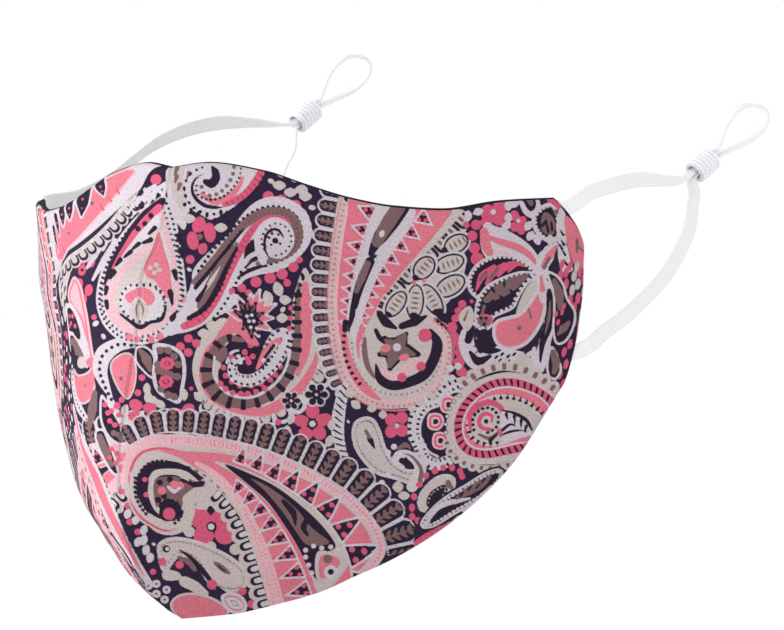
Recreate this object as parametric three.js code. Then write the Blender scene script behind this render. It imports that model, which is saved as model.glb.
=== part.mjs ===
// Cloth face mask with two adjustable ear loops, in millimetres.
// The origin is the nose bridge: the top of the outer cloth on its centre line.
// +X is the wearer's left, +Y points back toward the wearer and +Z is up.

import * as THREE from 'three';

// Main sizes of the cloth cup.
const HALF_WIDTH = 92;
const SIDE_DEPTH = 84;
const CHIN_DROP = 132.6;
const EAR_DROP = 63.6;
const FRONT_BULGE = 28.6;
const TOP_DIP = 12.9;

// The two layers of cloth.
const OUTER_CLOTH = 1.2;
const LINING_CLOTH = 1.0;
const LAYER_GAP = 0.3;
const LINING_SHOWS = 0.6;

// The elastic of the ear loops and the way it runs through a bead.
const STRAP_WIDTH = 4.6;
const STRAP_THICKNESS = 1.1;
const PINCHED_WIDTH = 3.0;
const STRAND_GAP = 0.4;
const SEAM_GAP = 0.3;

// The bead that both strands of a loop pass through.
const BEAD_LENGTH = 9;
const BEAD_WALL = 1.4;
const BEAD_CLEARANCE = 0.3;
const RIB_COUNT = 6;
const RIB_DEPTH = 0.35;
const END_ROUNDING = 0.5;

// How finely the curved faces are divided.
const HALF_COLUMNS = 22;
const CLOTH_ROWS = 20;
const BEAD_SIDES = 16;
const STRAP_STEPS = 90;

// Least distance of the inner faces from the centre line, for each millimetre of the outer face's.
const MITRE_SPREAD = 0.2;

// Places on the ear edge, as shares of the way from its top to its bottom.
const UPPER_STRAP_AT = 0.05;
const LOWER_STRAP_AT = 0.83;

// How much a strap climbs as it leaves the ear edge, for each millimetre that it goes back.
const STRAP_CLIMB = 0.44;

// Level rows of the cloth, from the top edge to the bottom edge.
// down: share of the centre line's drop; front: centre line forward, in shares of FRONT_BULGE;
// wide, back: the ear edge in shares of HALF_WIDTH and SIDE_DEPTH;
// crease: degrees that a half turns back at the centre line, and reach: how far it holds that line;
// earTurn: degrees back at the ear edge, and earReach: how far it holds that, in shares of HALF_WIDTH.
const ROWS = [
  { down: 0.00, front: 0.00, wide: 0.966, back: 0.865, crease: 18, reach: 0.40, earTurn: 64, earReach: 0.48 },
  { down: 0.08, front: 0.09, wide: 0.988, back: 0.918, crease: 20, reach: 0.41, earTurn: 64, earReach: 0.51 },
  { down: 0.16, front: 0.24, wide: 1.004, back: 0.953, crease: 20, reach: 0.42, earTurn: 63, earReach: 0.54 },
  { down: 0.25, front: 0.57, wide: 1.012, back: 0.978, crease: 10, reach: 0.40, earTurn: 62, earReach: 0.59 },
  { down: 0.35, front: 0.64, wide: 1.004, back: 0.991, crease: 4, reach: 0.34, earTurn: 61, earReach: 0.60 },
  { down: 0.50, front: 0.85, wide: 0.997, back: 1.000, crease: 0, reach: 0.28, earTurn: 59, earReach: 0.61 },
  { down: 0.65, front: 1.00, wide: 0.985, back: 1.000, crease: 0, reach: 0.23, earTurn: 56, earReach: 0.63 },
  { down: 0.77, front: 0.98, wide: 0.974, back: 0.995, crease: 10, reach: 0.18, earTurn: 53, earReach: 0.65 },
  { down: 0.87, front: 0.73, wide: 0.961, back: 0.988, crease: 47, reach: 0.19, earTurn: 49, earReach: 0.59 },
  { down: 0.94, front: 0.40, wide: 0.950, back: 0.984, crease: 61, reach: 0.21, earTurn: 46, earReach: 0.48 },
  { down: 1.00, front: -0.27, wide: 0.938, back: 0.978, crease: 59, reach: 0.23, earTurn: 42, earReach: 0.39 },
];

// Height of the top edge, in shares of TOP_DIP, at shares of the half width.
const TOP_EDGE = [
  { across: 0.00, height: 0.00 },
  { across: 0.12, height: 0.11 },
  { across: 0.29, height: -0.09 },
  { across: 0.42, height: -0.43 },
  { across: 0.54, height: -0.73 },
  { across: 0.65, height: -0.91 },
  { across: 0.77, height: -0.98 },
  { across: 0.90, height: -0.79 },
  { across: 1.00, height: -0.71 },
];

// Rise of the bottom edge from the chin to the ear corner, in shares of that rise.
const BOTTOM_EDGE = [
  { across: 0.00, rise: 0.00 },
  { across: 0.12, rise: 0.02 },
  { across: 0.23, rise: 0.06 },
  { across: 0.34, rise: 0.11 },
  { across: 0.44, rise: 0.18 },
  { across: 0.55, rise: 0.26 },
  { across: 0.70, rise: 0.41 },
  { across: 0.86, rise: 0.65 },
  { across: 1.00, rise: 1.00 },
];

// Directions of a bead: along its hole, and from the lower strand to the upper one.
const BEAD_AXIS = new THREE.Vector3(0.275, 0.788, 0.55).normalize();
const STACKING = new THREE.Vector3(-0.17, -0.81, 0.56);

// The way that the outside of the lower strands faces near their bead.
const LOWER_FACING = new THREE.Vector3(-0.5, 0.87, 0);

// Each loop: its side, the bead's centre from the upper end of the strap, the share of the upper strand
// from which it narrows, and the points of its two strands from the bead's centre, chosen by hand along
// the way that the elastic takes.
const LOOPS = [
  {
    name: 'left',
    side: 1,
    bead: [-12.9, 106, 13.3],
    narrowsFrom: 0.45,
    upper: [[15.1, -95.7, -8.8], [15.1, -86.3, -7.1], [14.3, -75.5, -5.8], [12.7, -63.3, -4.8],
      [10.5, -50.1, -4.6], [7.9, -36.2, -4.9], [5.2, -23.3, -4.4]],
    lower: [[1.2, -7.5, -8.1], [3.3, -12.3, -12], [5.3, -16.7, -16.1], [7.4, -22.7, -20.8],
      [9.3, -30.1, -25.2], [11.1, -38.8, -30.2], [12.6, -49, -35.2], [13.7, -60.3, -40],
      [14.3, -70.8, -44.4], [14.2, -84.7, -49.7]],
  },
  {
    name: 'right',
    side: -1,
    bead: [27.5, 108, 28.8],
    narrowsFrom: 0.7,
    upper: [[-27.8, -88, -25], [-25.8, -74, -20.3], [-23.1, -64.7, -14.7], [-19.8, -56, -9.1],
      [-15.3, -45, -4.7], [-10.8, -34, -2.5], [-6.7, -22.2, -2.3]],
    lower: [[-1.8, -4.8, -9.4], [-3.1, -5, -14.1], [-5.1, -6.2, -20], [-8, -8.2, -27.3],
      [-11.8, -12.8, -35.3], [-16.5, -22.3, -44.1], [-21, -38, -52.9], [-24.5, -58.5, -60.6],
      [-26.3, -77.7, -65.9]],
  },
];

// The small loop beyond a bead: how far along the bead's axis, and how far to the upper strand's side.
const SMALL_LOOP = [
  { along: 8.8, across: 2.7 },
  { along: 12.7, across: 5.3 },
  { along: 17.6, across: 6.7 },
  { along: 22.5, across: 6.3 },
  { along: 26.5, across: 4.2 },
  { along: 29.1, across: 1.4 },
  { along: 29.2, across: -1.4 },
  { along: 26.9, across: -3.5 },
  { along: 22.6, across: -4.2 },
  { along: 17.0, across: -3.5 },
  { along: 11.8, across: -2.1 },
];

const radians = THREE.MathUtils.degToRad;
const mix = THREE.MathUtils.lerp;

// A smooth value of one column of a table, at a place on its first column.
function tableValue(table, placeColumn, valueColumn, place) {
  const last = table.length - 1;
  const at = THREE.MathUtils.clamp(place, table[0][placeColumn], table[last][placeColumn]);
  let i = 0;
  while (i < last - 1 && at > table[i + 1][placeColumn]) i += 1;
  const step = (k) => table[k + 1][placeColumn] - table[k][placeColumn];
  const slope = (k) => (table[k + 1][valueColumn] - table[k][valueColumn]) / step(k);
  const tangent = (k) => {
    if (k === 0) return slope(0);
    if (k === last) return slope(last - 1);
    const before = slope(k - 1);
    const after = slope(k);
    if (before * after <= 0) return 0;
    const heavy = 2 * step(k) + step(k - 1);
    const light = step(k) + 2 * step(k - 1);
    return (heavy + light) / (heavy / before + light / after);
  };
  const h = step(i);
  const t = (at - table[i][placeColumn]) / h;
  const start = table[i][valueColumn] * (1 + 2 * t) * (1 - t) ** 2;
  const end = table[i + 1][valueColumn] * t * t * (3 - 2 * t);
  return start + end + h * t * (1 - t) * (tangent(i) * (1 - t) - tangent(i + 1) * t);
}

// A point of the outer cloth's face: across runs from -1 to 1 between the ear edges, down from 0 to 1.
function clothPoint(across, down) {
  const t = Math.abs(across);
  const row = (column) => tableValue(ROWS, 'down', column, down);
  const centre = -FRONT_BULGE * row('front');
  const wide = HALF_WIDTH * row('wide');
  const back = SIDE_DEPTH * row('back');
  const crease = radians(row('crease'));
  const earTurn = radians(row('earTurn'));
  const reach = HALF_WIDTH * row('reach');
  const earReach = HALF_WIDTH * row('earReach');
  const line = new THREE.CubicBezierCurve(
    new THREE.Vector2(0, centre),
    new THREE.Vector2(reach * Math.cos(crease), centre + reach * Math.sin(crease)),
    new THREE.Vector2(wide - earReach * Math.cos(earTurn), back - earReach * Math.sin(earTurn)),
    new THREE.Vector2(wide, back),
  ).getPoint(t);
  const share = line.x / wide;
  const top = TOP_DIP * tableValue(TOP_EDGE, 'across', 'height', share);
  const rise = (CHIN_DROP - EAR_DROP) * tableValue(BOTTOM_EDGE, 'across', 'rise', share);
  return new THREE.Vector3(Math.sign(across) * line.x, line.y, mix(top, rise - CHIN_DROP, down));
}

// The directions at a point of the left half: along the row, down the cloth, and into the cup.
function clothDirections(across, down) {
  const small = 0.004;
  const a = clothPoint(Math.max(across - small, 0), down);
  const b = clothPoint(Math.min(Math.max(across, small) + small, 1), down);
  const c = clothPoint(Math.max(across, small), Math.max(down - small, 0));
  const d = clothPoint(Math.max(across, small), Math.min(down + small, 1));
  const along = b.sub(a).normalize();
  const downward = d.sub(c).normalize();
  const inward = along.clone().cross(downward).normalize();
  return { along, downward, inward };
}

// A point under the outer face. Near a crease it slides along its row, so that the two halves meet
// in a mitre and don't cross. The margin lets the wall out past the outer cloth's edge.
function wallPoint(across, down, depth, margin = 0) {
  const place = Math.abs(across);
  const outer = clothPoint(place, down);
  const { along, downward, inward } = clothDirections(place, down);
  const point = outer.clone().addScaledVector(inward, depth);
  const nearest = outer.x * MITRE_SPREAD;
  if (point.x < nearest) point.addScaledVector(along, (nearest - point.x) / along.x);
  if (down === 0) point.addScaledVector(downward, -margin);
  if (down === 1) point.addScaledVector(downward, margin);
  if (place === 1) point.addScaledVector(along, margin);
  if (place === 0) point.x = 0;
  point.x *= Math.sign(across);
  return point;
}

// A wall of cloth between two depths under the outer face, its edge let out by a margin.
function clothWall(nearDepth, farDepth, margin) {
  const columns = 2 * HALF_COLUMNS;
  const positions = [];
  for (const depth of [nearDepth, farDepth]) {
    for (let r = 0; r <= CLOTH_ROWS; r += 1) {
      for (let c = 0; c <= columns; c += 1) {
        const point = wallPoint(c / HALF_COLUMNS - 1, r / CLOTH_ROWS, depth, margin);
        positions.push(point.x, point.y, point.z);
      }
    }
  }
  const width = columns + 1;
  const layer = width * (CLOTH_ROWS + 1);
  const indices = [];
  const quad = (a, b, c, d) => indices.push(a, b, c, a, c, d);
  for (let r = 0; r < CLOTH_ROWS; r += 1) {
    for (let c = 0; c < columns; c += 1) {
      const corner = r * width + c;
      quad(corner, corner + width, corner + width + 1, corner + 1);
      quad(layer + corner, layer + corner + 1, layer + corner + width + 1, layer + corner + width);
    }
  }
  for (let c = 0; c < columns; c += 1) {
    const low = CLOTH_ROWS * width + c;
    quad(c, c + 1, layer + c + 1, layer + c);
    quad(low + 1, low, layer + low, layer + low + 1);
  }
  for (let r = 0; r < CLOTH_ROWS; r += 1) {
    const first = r * width;
    const last = first + columns;
    quad(first + width, first, layer + first, layer + first + width);
    quad(last, last + width, layer + last + width, layer + last);
  }
  return solidGeometry(positions, indices);
}

// The way that the cloth heads at an ear edge, out and back.
function earwards(side, down) {
  const turn = radians(tableValue(ROWS, 'down', 'earTurn', down));
  return new THREE.Vector3(side * Math.cos(turn), Math.sin(turn), 0);
}

function solidGeometry(positions, indices) {
  const geometry = new THREE.BufferGeometry();
  geometry.setAttribute('position', new THREE.Float32BufferAttribute(positions, 3));
  geometry.setIndex(indices);
  geometry.computeVertexNormals();
  return geometry;
}

function edgeDirection(side, down) {
  const { downward } = clothDirections(1, down);
  return new THREE.Vector3(side * downward.x, downward.y, downward.z);
}

// Where a strap leaves the ear edge: the middle of both layers, clear of the lining by the seam gap.
function strapEnd(side, down) {
  const middle = (OUTER_CLOTH + LAYER_GAP + LINING_CLOTH) / 2;
  return wallPoint(side, down, middle).addScaledVector(earwards(side, down), LINING_SHOWS + SEAM_GAP);
}

// The two strands' distance from the bead's axis, and the hole that holds both.
const STRAND_OFFSET = (STRAP_THICKNESS + STRAND_GAP) / 2;
const HOLE_RADIUS = Math.hypot(PINCHED_WIDTH / 2, STRAP_THICKNESS + STRAND_GAP / 2) + BEAD_CLEARANCE;
const ACROSS_BEAD = STACKING.clone().addScaledVector(BEAD_AXIS, -STACKING.dot(BEAD_AXIS)).normalize();

function beadCentre(loop) {
  return strapEnd(loop.side, UPPER_STRAP_AT).add(new THREE.Vector3(...loop.bead));
}

// A point in a bead's own directions.
function nearBead(loop, along, across) {
  return beadCentre(loop).addScaledVector(BEAD_AXIS, along).addScaledVector(ACROSS_BEAD, across);
}

// The whole way of one loop's elastic, each point with the width of the strap and the way it faces.
function strapRoute(loop) {
  const centre = beadCentre(loop);
  const outward = new THREE.Vector3(loop.side * 0.87, -0.5, 0);
  const inward = outward.clone().negate();
  const halfTurned = outward.clone().add(ACROSS_BEAD);
  const stops = [];
  const stop = (point, width, facing) => stops.push({ point, width, facing: facing.clone().normalize() });
  const ends = [UPPER_STRAP_AT, LOWER_STRAP_AT].map((down) => strapEnd(loop.side, down));
  const leads = [UPPER_STRAP_AT, LOWER_STRAP_AT].map((down) => {
    const climb = new THREE.Vector3(0, 0, STRAP_CLIMB);
    return earwards(loop.side, down).add(climb).setLength(STRAP_WIDTH);
  });
  stop(ends[0], STRAP_WIDTH, outward);
  stop(ends[0].clone().add(leads[0]), STRAP_WIDTH, outward);
  const upper = strandStops(loop.upper, centre, outward, halfTurned, loop.narrowsFrom);
  upper.forEach((s) => stop(s.point, s.width, s.facing));
  const straight = BEAD_LENGTH / 2 + STRAP_THICKNESS;
  for (const along of [-straight, 0, straight]) {
    stop(nearBead(loop, along, STRAND_OFFSET), PINCHED_WIDTH, ACROSS_BEAD);
  }
  for (const { along, across } of SMALL_LOOP) {
    const middle = SMALL_LOOP[2].along;
    const facing = new THREE.Vector3().addScaledVector(BEAD_AXIS, Math.max(along - middle, 0));
    stop(nearBead(loop, along, across), PINCHED_WIDTH, facing.addScaledVector(ACROSS_BEAD, across));
  }
  for (const along of [straight, 0, -straight]) {
    stop(nearBead(loop, along, -STRAND_OFFSET), PINCHED_WIDTH, ACROSS_BEAD.clone().negate());
  }
  const lower = strandStops([...loop.lower].reverse(), centre, inward, LOWER_FACING, 0.8);
  lower.reverse().forEach((s) => stop(s.point, s.width, s.facing));
  stop(ends[1].clone().add(leads[1]), STRAP_WIDTH, inward);
  stop(ends[1], STRAP_WIDTH, inward);
  stops.at(0).cut = edgeDirection(loop.side, UPPER_STRAP_AT);
  stops.at(-1).cut = edgeDirection(loop.side, LOWER_STRAP_AT);
  return stops;
}

// A strand's stops, listed from the ear edge to the bead. It narrows and turns from a share of its way on.
function strandStops(points, centre, facingAtEar, facingAtBead, narrowsFrom) {
  return points.map((offset, k) => {
    const share = (k + 1) / (points.length + 1);
    const narrowed = THREE.MathUtils.smoothstep(share, narrowsFrom, 1);
    return {
      point: centre.clone().add(new THREE.Vector3(...offset)),
      width: mix(STRAP_WIDTH, PINCHED_WIDTH, narrowed),
      facing: facingAtEar.clone().lerp(facingAtBead, narrowed),
    };
  });
}

// A flat strap with eight-sided sections, spread evenly over its stops, which lie closer in its bends.
function strapGeometry(stops) {
  const curve = new THREE.CatmullRomCurve3(stops.map((s) => s.point), false, 'centripetal');
  const corner = STRAP_THICKNESS * 0.3;
  const positions = [];
  const indices = [];
  for (let k = 0; k <= STRAP_STEPS; k += 1) {
    const t = k / STRAP_STEPS;
    const i = Math.min(Math.floor(t * (stops.length - 1)), stops.length - 2);
    const between = t * (stops.length - 1) - i;
    const heading = curve.getTangent(t);
    const face = stops[i].facing.clone().lerp(stops[i + 1].facing, between);
    face.addScaledVector(heading, -face.dot(heading)).normalize();
    const wide = new THREE.Vector3().crossVectors(heading, face);
    slantTowardCut(wide, stops[i].cut, 1 - between);
    slantTowardCut(wide, stops[i + 1].cut, between);
    const halfWide = mix(stops[i].width, stops[i + 1].width, between) / 2;
    const halfThick = STRAP_THICKNESS / 2;
    const section = [
      [halfWide, -halfThick + corner], [halfWide, halfThick - corner],
      [halfWide - corner, halfThick], [corner - halfWide, halfThick],
      [-halfWide, halfThick - corner], [-halfWide, -halfThick + corner],
      [corner - halfWide, -halfThick], [halfWide - corner, -halfThick],
    ];
    for (const [across, out] of section) {
      const p = curve.getPoint(t).addScaledVector(wide, across).addScaledVector(face, out);
      positions.push(p.x, p.y, p.z);
    }
  }
  const sides = 8;
  for (let k = 0; k < STRAP_STEPS; k += 1) {
    for (let s = 0; s < sides; s += 1) {
      const a = k * sides + s;
      const b = k * sides + (s + 1) % sides;
      indices.push(a, a + sides, b, b, a + sides, b + sides);
    }
  }
  const end = STRAP_STEPS * sides;
  for (let s = 1; s < sides - 1; s += 1) {
    indices.push(0, s, s + 1);
    indices.push(end, end + s + 1, end + s);
  }
  return solidGeometry(positions, indices);
}

// A strap's end is cut along the ear edge that it meets.
function slantTowardCut(wide, cut, share) {
  if (!cut) return;
  wide.lerp(cut.clone().divideScalar(cut.dot(wide)), share);
}

// A ribbed bead turned around its own axis, with a hole right through.
function beadGeometry() {
  const outer = HOLE_RADIUS + BEAD_WALL;
  const half = BEAD_LENGTH / 2;
  const ribs = BEAD_LENGTH - 2 * END_ROUNDING;
  const profile = [
    new THREE.Vector2(HOLE_RADIUS, half - END_ROUNDING),
    new THREE.Vector2(HOLE_RADIUS, END_ROUNDING - half),
    new THREE.Vector2(HOLE_RADIUS + END_ROUNDING, -half),
  ];
  for (let k = 0; k <= RIB_COUNT; k += 1) {
    const groove = k / RIB_COUNT * ribs - ribs / 2;
    profile.push(new THREE.Vector2(outer - RIB_DEPTH, groove));
    if (k < RIB_COUNT) profile.push(new THREE.Vector2(outer, groove + ribs / RIB_COUNT / 2));
  }
  profile.push(new THREE.Vector2(HOLE_RADIUS + END_ROUNDING, half), profile[0].clone());
  return new THREE.LatheGeometry(profile, BEAD_SIDES);
}

function material(color, roughness) {
  return new THREE.MeshStandardMaterial({ color, roughness, metalness: 0 });
}

function addMesh(parent, name, geometry, look) {
  const mesh = new THREE.Mesh(geometry, look);
  mesh.name = name;
  parent.add(mesh);
  return mesh;
}

const mask = new THREE.Group();
const liningDepth = OUTER_CLOTH + LAYER_GAP;
addMesh(mask, 'printed_shell', clothWall(0, OUTER_CLOTH, 0), material(0xc98aa0, 0.9));
const lining = clothWall(liningDepth, liningDepth + LINING_CLOTH, LINING_SHOWS);
addMesh(mask, 'lining', lining, material(0x1b1720, 0.95));

for (const loop of LOOPS) {
  addMesh(mask, `ear_loop_${loop.name}`, strapGeometry(strapRoute(loop)), material(0xf2f2f0, 0.8));
  const bead = addMesh(mask, `loop_adjuster_${loop.name}`, beadGeometry(), material(0xeeeaf4, 0.5));
  bead.position.copy(beadCentre(loop));
  bead.quaternion.setFromUnitVectors(new THREE.Vector3(0, 1, 0), BEAD_AXIS);
}

export default mask;
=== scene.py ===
"""Cloth face mask: a printed cup of cloth with a dark lining, and two elastic ear loops with beads."""

import math

import bpy
import numpy as np
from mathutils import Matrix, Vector


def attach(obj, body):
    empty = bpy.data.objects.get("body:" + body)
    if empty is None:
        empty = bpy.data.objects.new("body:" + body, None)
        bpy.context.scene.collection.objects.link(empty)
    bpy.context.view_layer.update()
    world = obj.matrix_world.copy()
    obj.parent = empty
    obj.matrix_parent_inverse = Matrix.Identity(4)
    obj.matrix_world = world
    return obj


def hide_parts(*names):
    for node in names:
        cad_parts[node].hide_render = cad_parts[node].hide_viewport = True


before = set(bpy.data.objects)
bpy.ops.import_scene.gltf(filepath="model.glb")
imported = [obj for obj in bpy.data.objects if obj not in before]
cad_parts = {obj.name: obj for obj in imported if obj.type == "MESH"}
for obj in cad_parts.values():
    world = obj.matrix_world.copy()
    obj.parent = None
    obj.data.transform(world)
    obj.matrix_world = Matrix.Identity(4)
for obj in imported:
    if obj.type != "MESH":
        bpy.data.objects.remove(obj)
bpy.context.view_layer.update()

MM = 0.001

# Sizes of the cloth cup, in millimetres
HALF_WIDTH = 92.0
SIDE_DEPTH = 84.0
CHIN_DROP = 132.6
EAR_DROP = 63.6
FRONT_BULGE = 28.6
TOP_DIP = 12.9
OUTER_CLOTH = 1.2
LAYER_GAP = 0.3
LINING_CLOTH = 1.0
LINING_SHOWS = 0.6

# Elastic and beads, in millimetres
STRAP_WIDTH = 4.6
STRAP_THICKNESS = 1.1
PINCHED_WIDTH = 3.0
STRAND_GAP = 0.4
SEAM_GAP = 0.3
BEAD_LENGTH = 9.0
BEAD_WALL = 1.4
BEAD_CLEARANCE = 0.3
RIB_COUNT = 6
RIB_DEPTH = 0.35
UPPER_STRAP_AT = 0.05
LOWER_STRAP_AT = 0.83
STRAP_CLIMB = 0.44
TUCKED_IN = 2.0

# Level rows of the cloth, from the top edge to the bottom edge, in shares of the sizes above
ROW_COLUMNS = ("down", "front", "wide", "back", "crease", "reach", "ear_turn", "ear_reach")
ROWS = np.array([
    [0.00, 0.00, 0.966, 0.865, 18, 0.40, 64, 0.48],
    [0.08, 0.09, 0.988, 0.918, 20, 0.41, 64, 0.51],
    [0.16, 0.24, 1.004, 0.953, 20, 0.42, 63, 0.54],
    [0.25, 0.57, 1.012, 0.978, 10, 0.40, 62, 0.59],
    [0.35, 0.64, 1.004, 0.991, 4, 0.34, 61, 0.60],
    [0.50, 0.85, 0.997, 1.000, 0, 0.28, 59, 0.61],
    [0.65, 1.00, 0.985, 1.000, 0, 0.23, 56, 0.63],
    [0.77, 0.98, 0.974, 0.995, 10, 0.18, 53, 0.65],
    [0.87, 0.73, 0.961, 0.988, 47, 0.19, 49, 0.59],
    [0.94, 0.40, 0.950, 0.984, 61, 0.21, 46, 0.48],
    [1.00, -0.27, 0.938, 0.978, 59, 0.23, 42, 0.39],
])
# Height of the top edge in shares of TOP_DIP, and rise of the bottom edge from chin to ear corner
TOP_EDGE = np.array([
    [0.00, 0.00], [0.12, 0.11], [0.29, -0.09], [0.42, -0.43], [0.54, -0.73],
    [0.65, -0.91], [0.77, -0.98], [0.90, -0.79], [1.00, -0.71],
])
BOTTOM_EDGE = np.array([
    [0.00, 0.00], [0.12, 0.02], [0.23, 0.06], [0.34, 0.11], [0.44, 0.18],
    [0.55, 0.26], [0.70, 0.41], [0.86, 0.65], [1.00, 1.00],
])

# The ways of the two ear loops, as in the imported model: the bead's centre from the strap's upper end,
# and the points of both strands from the bead's centre
BEAD_AXIS = np.array([0.275, 0.788, 0.55])
STACKING = np.array([-0.17, -0.81, 0.56])
LOWER_FACING = np.array([-0.5, 0.87, 0.0])
LOOPS = {
    "left": {
        "side": 1,
        "bead": [-12.9, 106, 13.3],
        "narrows_from": 0.45,
        "upper": [[15.1, -95.7, -8.8], [15.1, -86.3, -7.1], [14.3, -75.5, -5.8], [12.7, -63.3, -4.8],
                  [10.5, -50.1, -4.6], [7.9, -36.2, -4.9], [5.2, -23.3, -4.4]],
        "lower": [[1.2, -7.5, -8.1], [3.3, -12.3, -12], [5.3, -16.7, -16.1], [7.4, -22.7, -20.8],
                  [9.3, -30.1, -25.2], [11.1, -38.8, -30.2], [12.6, -49, -35.2], [13.7, -60.3, -40],
                  [14.3, -70.8, -44.4], [14.2, -84.7, -49.7]],
    },
    "right": {
        "side": -1,
        "bead": [27.5, 108, 28.8],
        "narrows_from": 0.7,
        "upper": [[-27.8, -88, -25], [-25.8, -74, -20.3], [-23.1, -64.7, -14.7], [-19.8, -56, -9.1],
                  [-15.3, -45, -4.7], [-10.8, -34, -2.5], [-6.7, -22.2, -2.3]],
        "lower": [[-1.8, -4.8, -9.4], [-3.1, -5, -14.1], [-5.1, -6.2, -20], [-8, -8.2, -27.3],
                  [-11.8, -12.8, -35.3], [-16.5, -22.3, -44.1], [-21, -38, -52.9], [-24.5, -58.5, -60.6],
                  [-26.3, -77.7, -65.9]],
    },
}
SMALL_LOOP = [
    [8.8, 2.7], [12.7, 5.3], [17.6, 6.7], [22.5, 6.3], [26.5, 4.2], [29.1, 1.4],
    [29.2, -1.4], [26.9, -3.5], [22.6, -4.2], [17.0, -3.5], [11.8, -2.1],
]


def unit(vectors):
    """Vectors scaled to a length of one."""
    vectors = np.asarray(vectors, float)
    return vectors / np.linalg.norm(vectors, axis=-1, keepdims=True)


def smooth_share(value, low, high):
    """How far a value has come from low to high, as a share that eases in and out."""
    t = np.clip((value - low) / (high - low), 0, 1)
    return t * t * (3 - 2 * t)


# Camera and studio

CAMERA_AZIMUTH = math.radians(30)
CAMERA_LENS = 1000.0
CAMERA_DISTANCE = 6.405
CAMERA_TARGET = (0.0413, 0.0585, -0.0432)
FLOOR_DEPTH = -0.160
FLOOR_RADIUS = 1.1
FLOOR_SIDES = 96
LAMP_AIM = (0.0, 0.05, -0.06)
# Each lamp's azimuth and elevation in degrees, its distance and size in metres, and its power in watts
LAMPS = {
    "key_softbox": (-48, -4, 0.9, 0.7, 10.5),
    "fill_softbox": (40, -2, 0.9, 0.2, 0.7),
}


def make_camera():
    """The camera at the photo's angle."""
    data = bpy.data.cameras.new("photo_camera")
    data.lens = CAMERA_LENS
    data.sensor_width = 36.0
    data.clip_end = 40.0
    camera = bpy.data.objects.new("photo_camera", data)
    bpy.context.scene.collection.objects.link(camera)
    back = Vector((math.sin(CAMERA_AZIMUTH), -math.cos(CAMERA_AZIMUTH), 0.0))
    camera.location = Vector(CAMERA_TARGET) + back * CAMERA_DISTANCE
    camera.rotation_mode = "QUATERNION"
    camera.rotation_quaternion = (-back).to_track_quat("-Z", "Y")
    bpy.context.scene.camera = camera


def add_lamp(name, azimuth, elevation, distance, size, power):
    """A round lamp that faces the mask. Its angles are in degrees."""
    data = bpy.data.lights.new(name, "AREA")
    data.shape = "DISK"
    data.size = size
    data.energy = power
    lamp = bpy.data.objects.new(name, data)
    bpy.context.scene.collection.objects.link(lamp)
    a, e = math.radians(azimuth), math.radians(elevation)
    back = Vector((math.sin(a) * math.cos(e), -math.cos(a) * math.cos(e), math.sin(e)))
    lamp.location = Vector(LAMP_AIM) + back * distance
    lamp.rotation_mode = "QUATERNION"
    lamp.rotation_quaternion = back.to_track_quat("Z", "Y")


def make_studio():
    """White surroundings, two lamps and a pale floor."""
    world = bpy.data.worlds.new("white_room")
    bpy.context.scene.world = world
    world.use_nodes = True
    background = world.node_tree.nodes["Background"]
    background.inputs["Color"].default_value = (1.0, 1.0, 1.0, 1.0)
    background.inputs["Strength"].default_value = 1.0
    for name, values in LAMPS.items():
        add_lamp(name, *values)
    bpy.context.scene.view_settings.view_transform = "Standard"
    ring = [(FLOOR_RADIUS * math.cos(a), FLOOR_RADIUS * math.sin(a), FLOOR_DEPTH)
            for a in np.linspace(0, 2 * math.pi, FLOOR_SIDES, endpoint=False)]
    mesh = bpy.data.meshes.new("floor")
    mesh.from_pydata(ring, [], [tuple(range(len(ring)))])
    floor = bpy.data.objects.new("floor", mesh)
    bpy.context.scene.collection.objects.link(floor)
    material = bpy.data.materials.new("pale_floor")
    material.use_nodes = True
    shader = material.node_tree.nodes["Principled BSDF"]
    shader.inputs["Base Color"].default_value = (0.9, 0.9, 0.9, 1.0)
    shader.inputs["Roughness"].default_value = 0.8
    mesh.materials.append(material)


# The cloth's shape


def table_value(table, column, place):
    """A smooth value of one column of a table, at places on its first column."""
    xs, ys = table[:, 0], table[:, column]
    step = np.diff(xs)
    slope = np.diff(ys) / step
    tangent = np.zeros_like(ys)
    tangent[0], tangent[-1] = slope[0], slope[-1]
    for k in range(1, len(xs) - 1):
        if slope[k - 1] * slope[k] > 0:
            heavy, light = 2 * step[k] + step[k - 1], step[k] + 2 * step[k - 1]
            tangent[k] = (heavy + light) / (heavy / slope[k - 1] + light / slope[k])
    at = np.clip(place, xs[0], xs[-1])
    i = np.clip(np.searchsorted(xs, at, side="right") - 1, 0, len(xs) - 2)
    t = (at - xs[i]) / step[i]
    ends = ys[i] * (1 + 2 * t) * (1 - t) ** 2 + ys[i + 1] * t * t * (3 - 2 * t)
    return ends + step[i] * t * (1 - t) * (tangent[i] * (1 - t) - tangent[i + 1] * t)


def cloth_point(across, down):
    """Points of the outer cloth's left half, in millimetres."""
    row = {name: table_value(ROWS, k, down) for k, name in enumerate(ROW_COLUMNS)}
    centre = -FRONT_BULGE * row["front"]
    wide, back = HALF_WIDTH * row["wide"], SIDE_DEPTH * row["back"]
    crease, ear_turn = np.radians(row["crease"]), np.radians(row["ear_turn"])
    reach, ear_reach = HALF_WIDTH * row["reach"], HALF_WIDTH * row["ear_reach"]
    weights = [(1 - across) ** 3, 3 * across * (1 - across) ** 2, 3 * across**2 * (1 - across), across**3]
    xs = [0, reach * np.cos(crease), wide - ear_reach * np.cos(ear_turn), wide]
    ys = [centre, centre + reach * np.sin(crease), back - ear_reach * np.sin(ear_turn), back]
    x = sum(w * p for w, p in zip(weights, xs))
    y = sum(w * p for w, p in zip(weights, ys))
    top = TOP_DIP * table_value(TOP_EDGE, 1, x / wide)
    bottom = (CHIN_DROP - EAR_DROP) * table_value(BOTTOM_EDGE, 1, x / wide) - CHIN_DROP
    return np.stack([x, y, top + (bottom - top) * down], -1)


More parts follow.
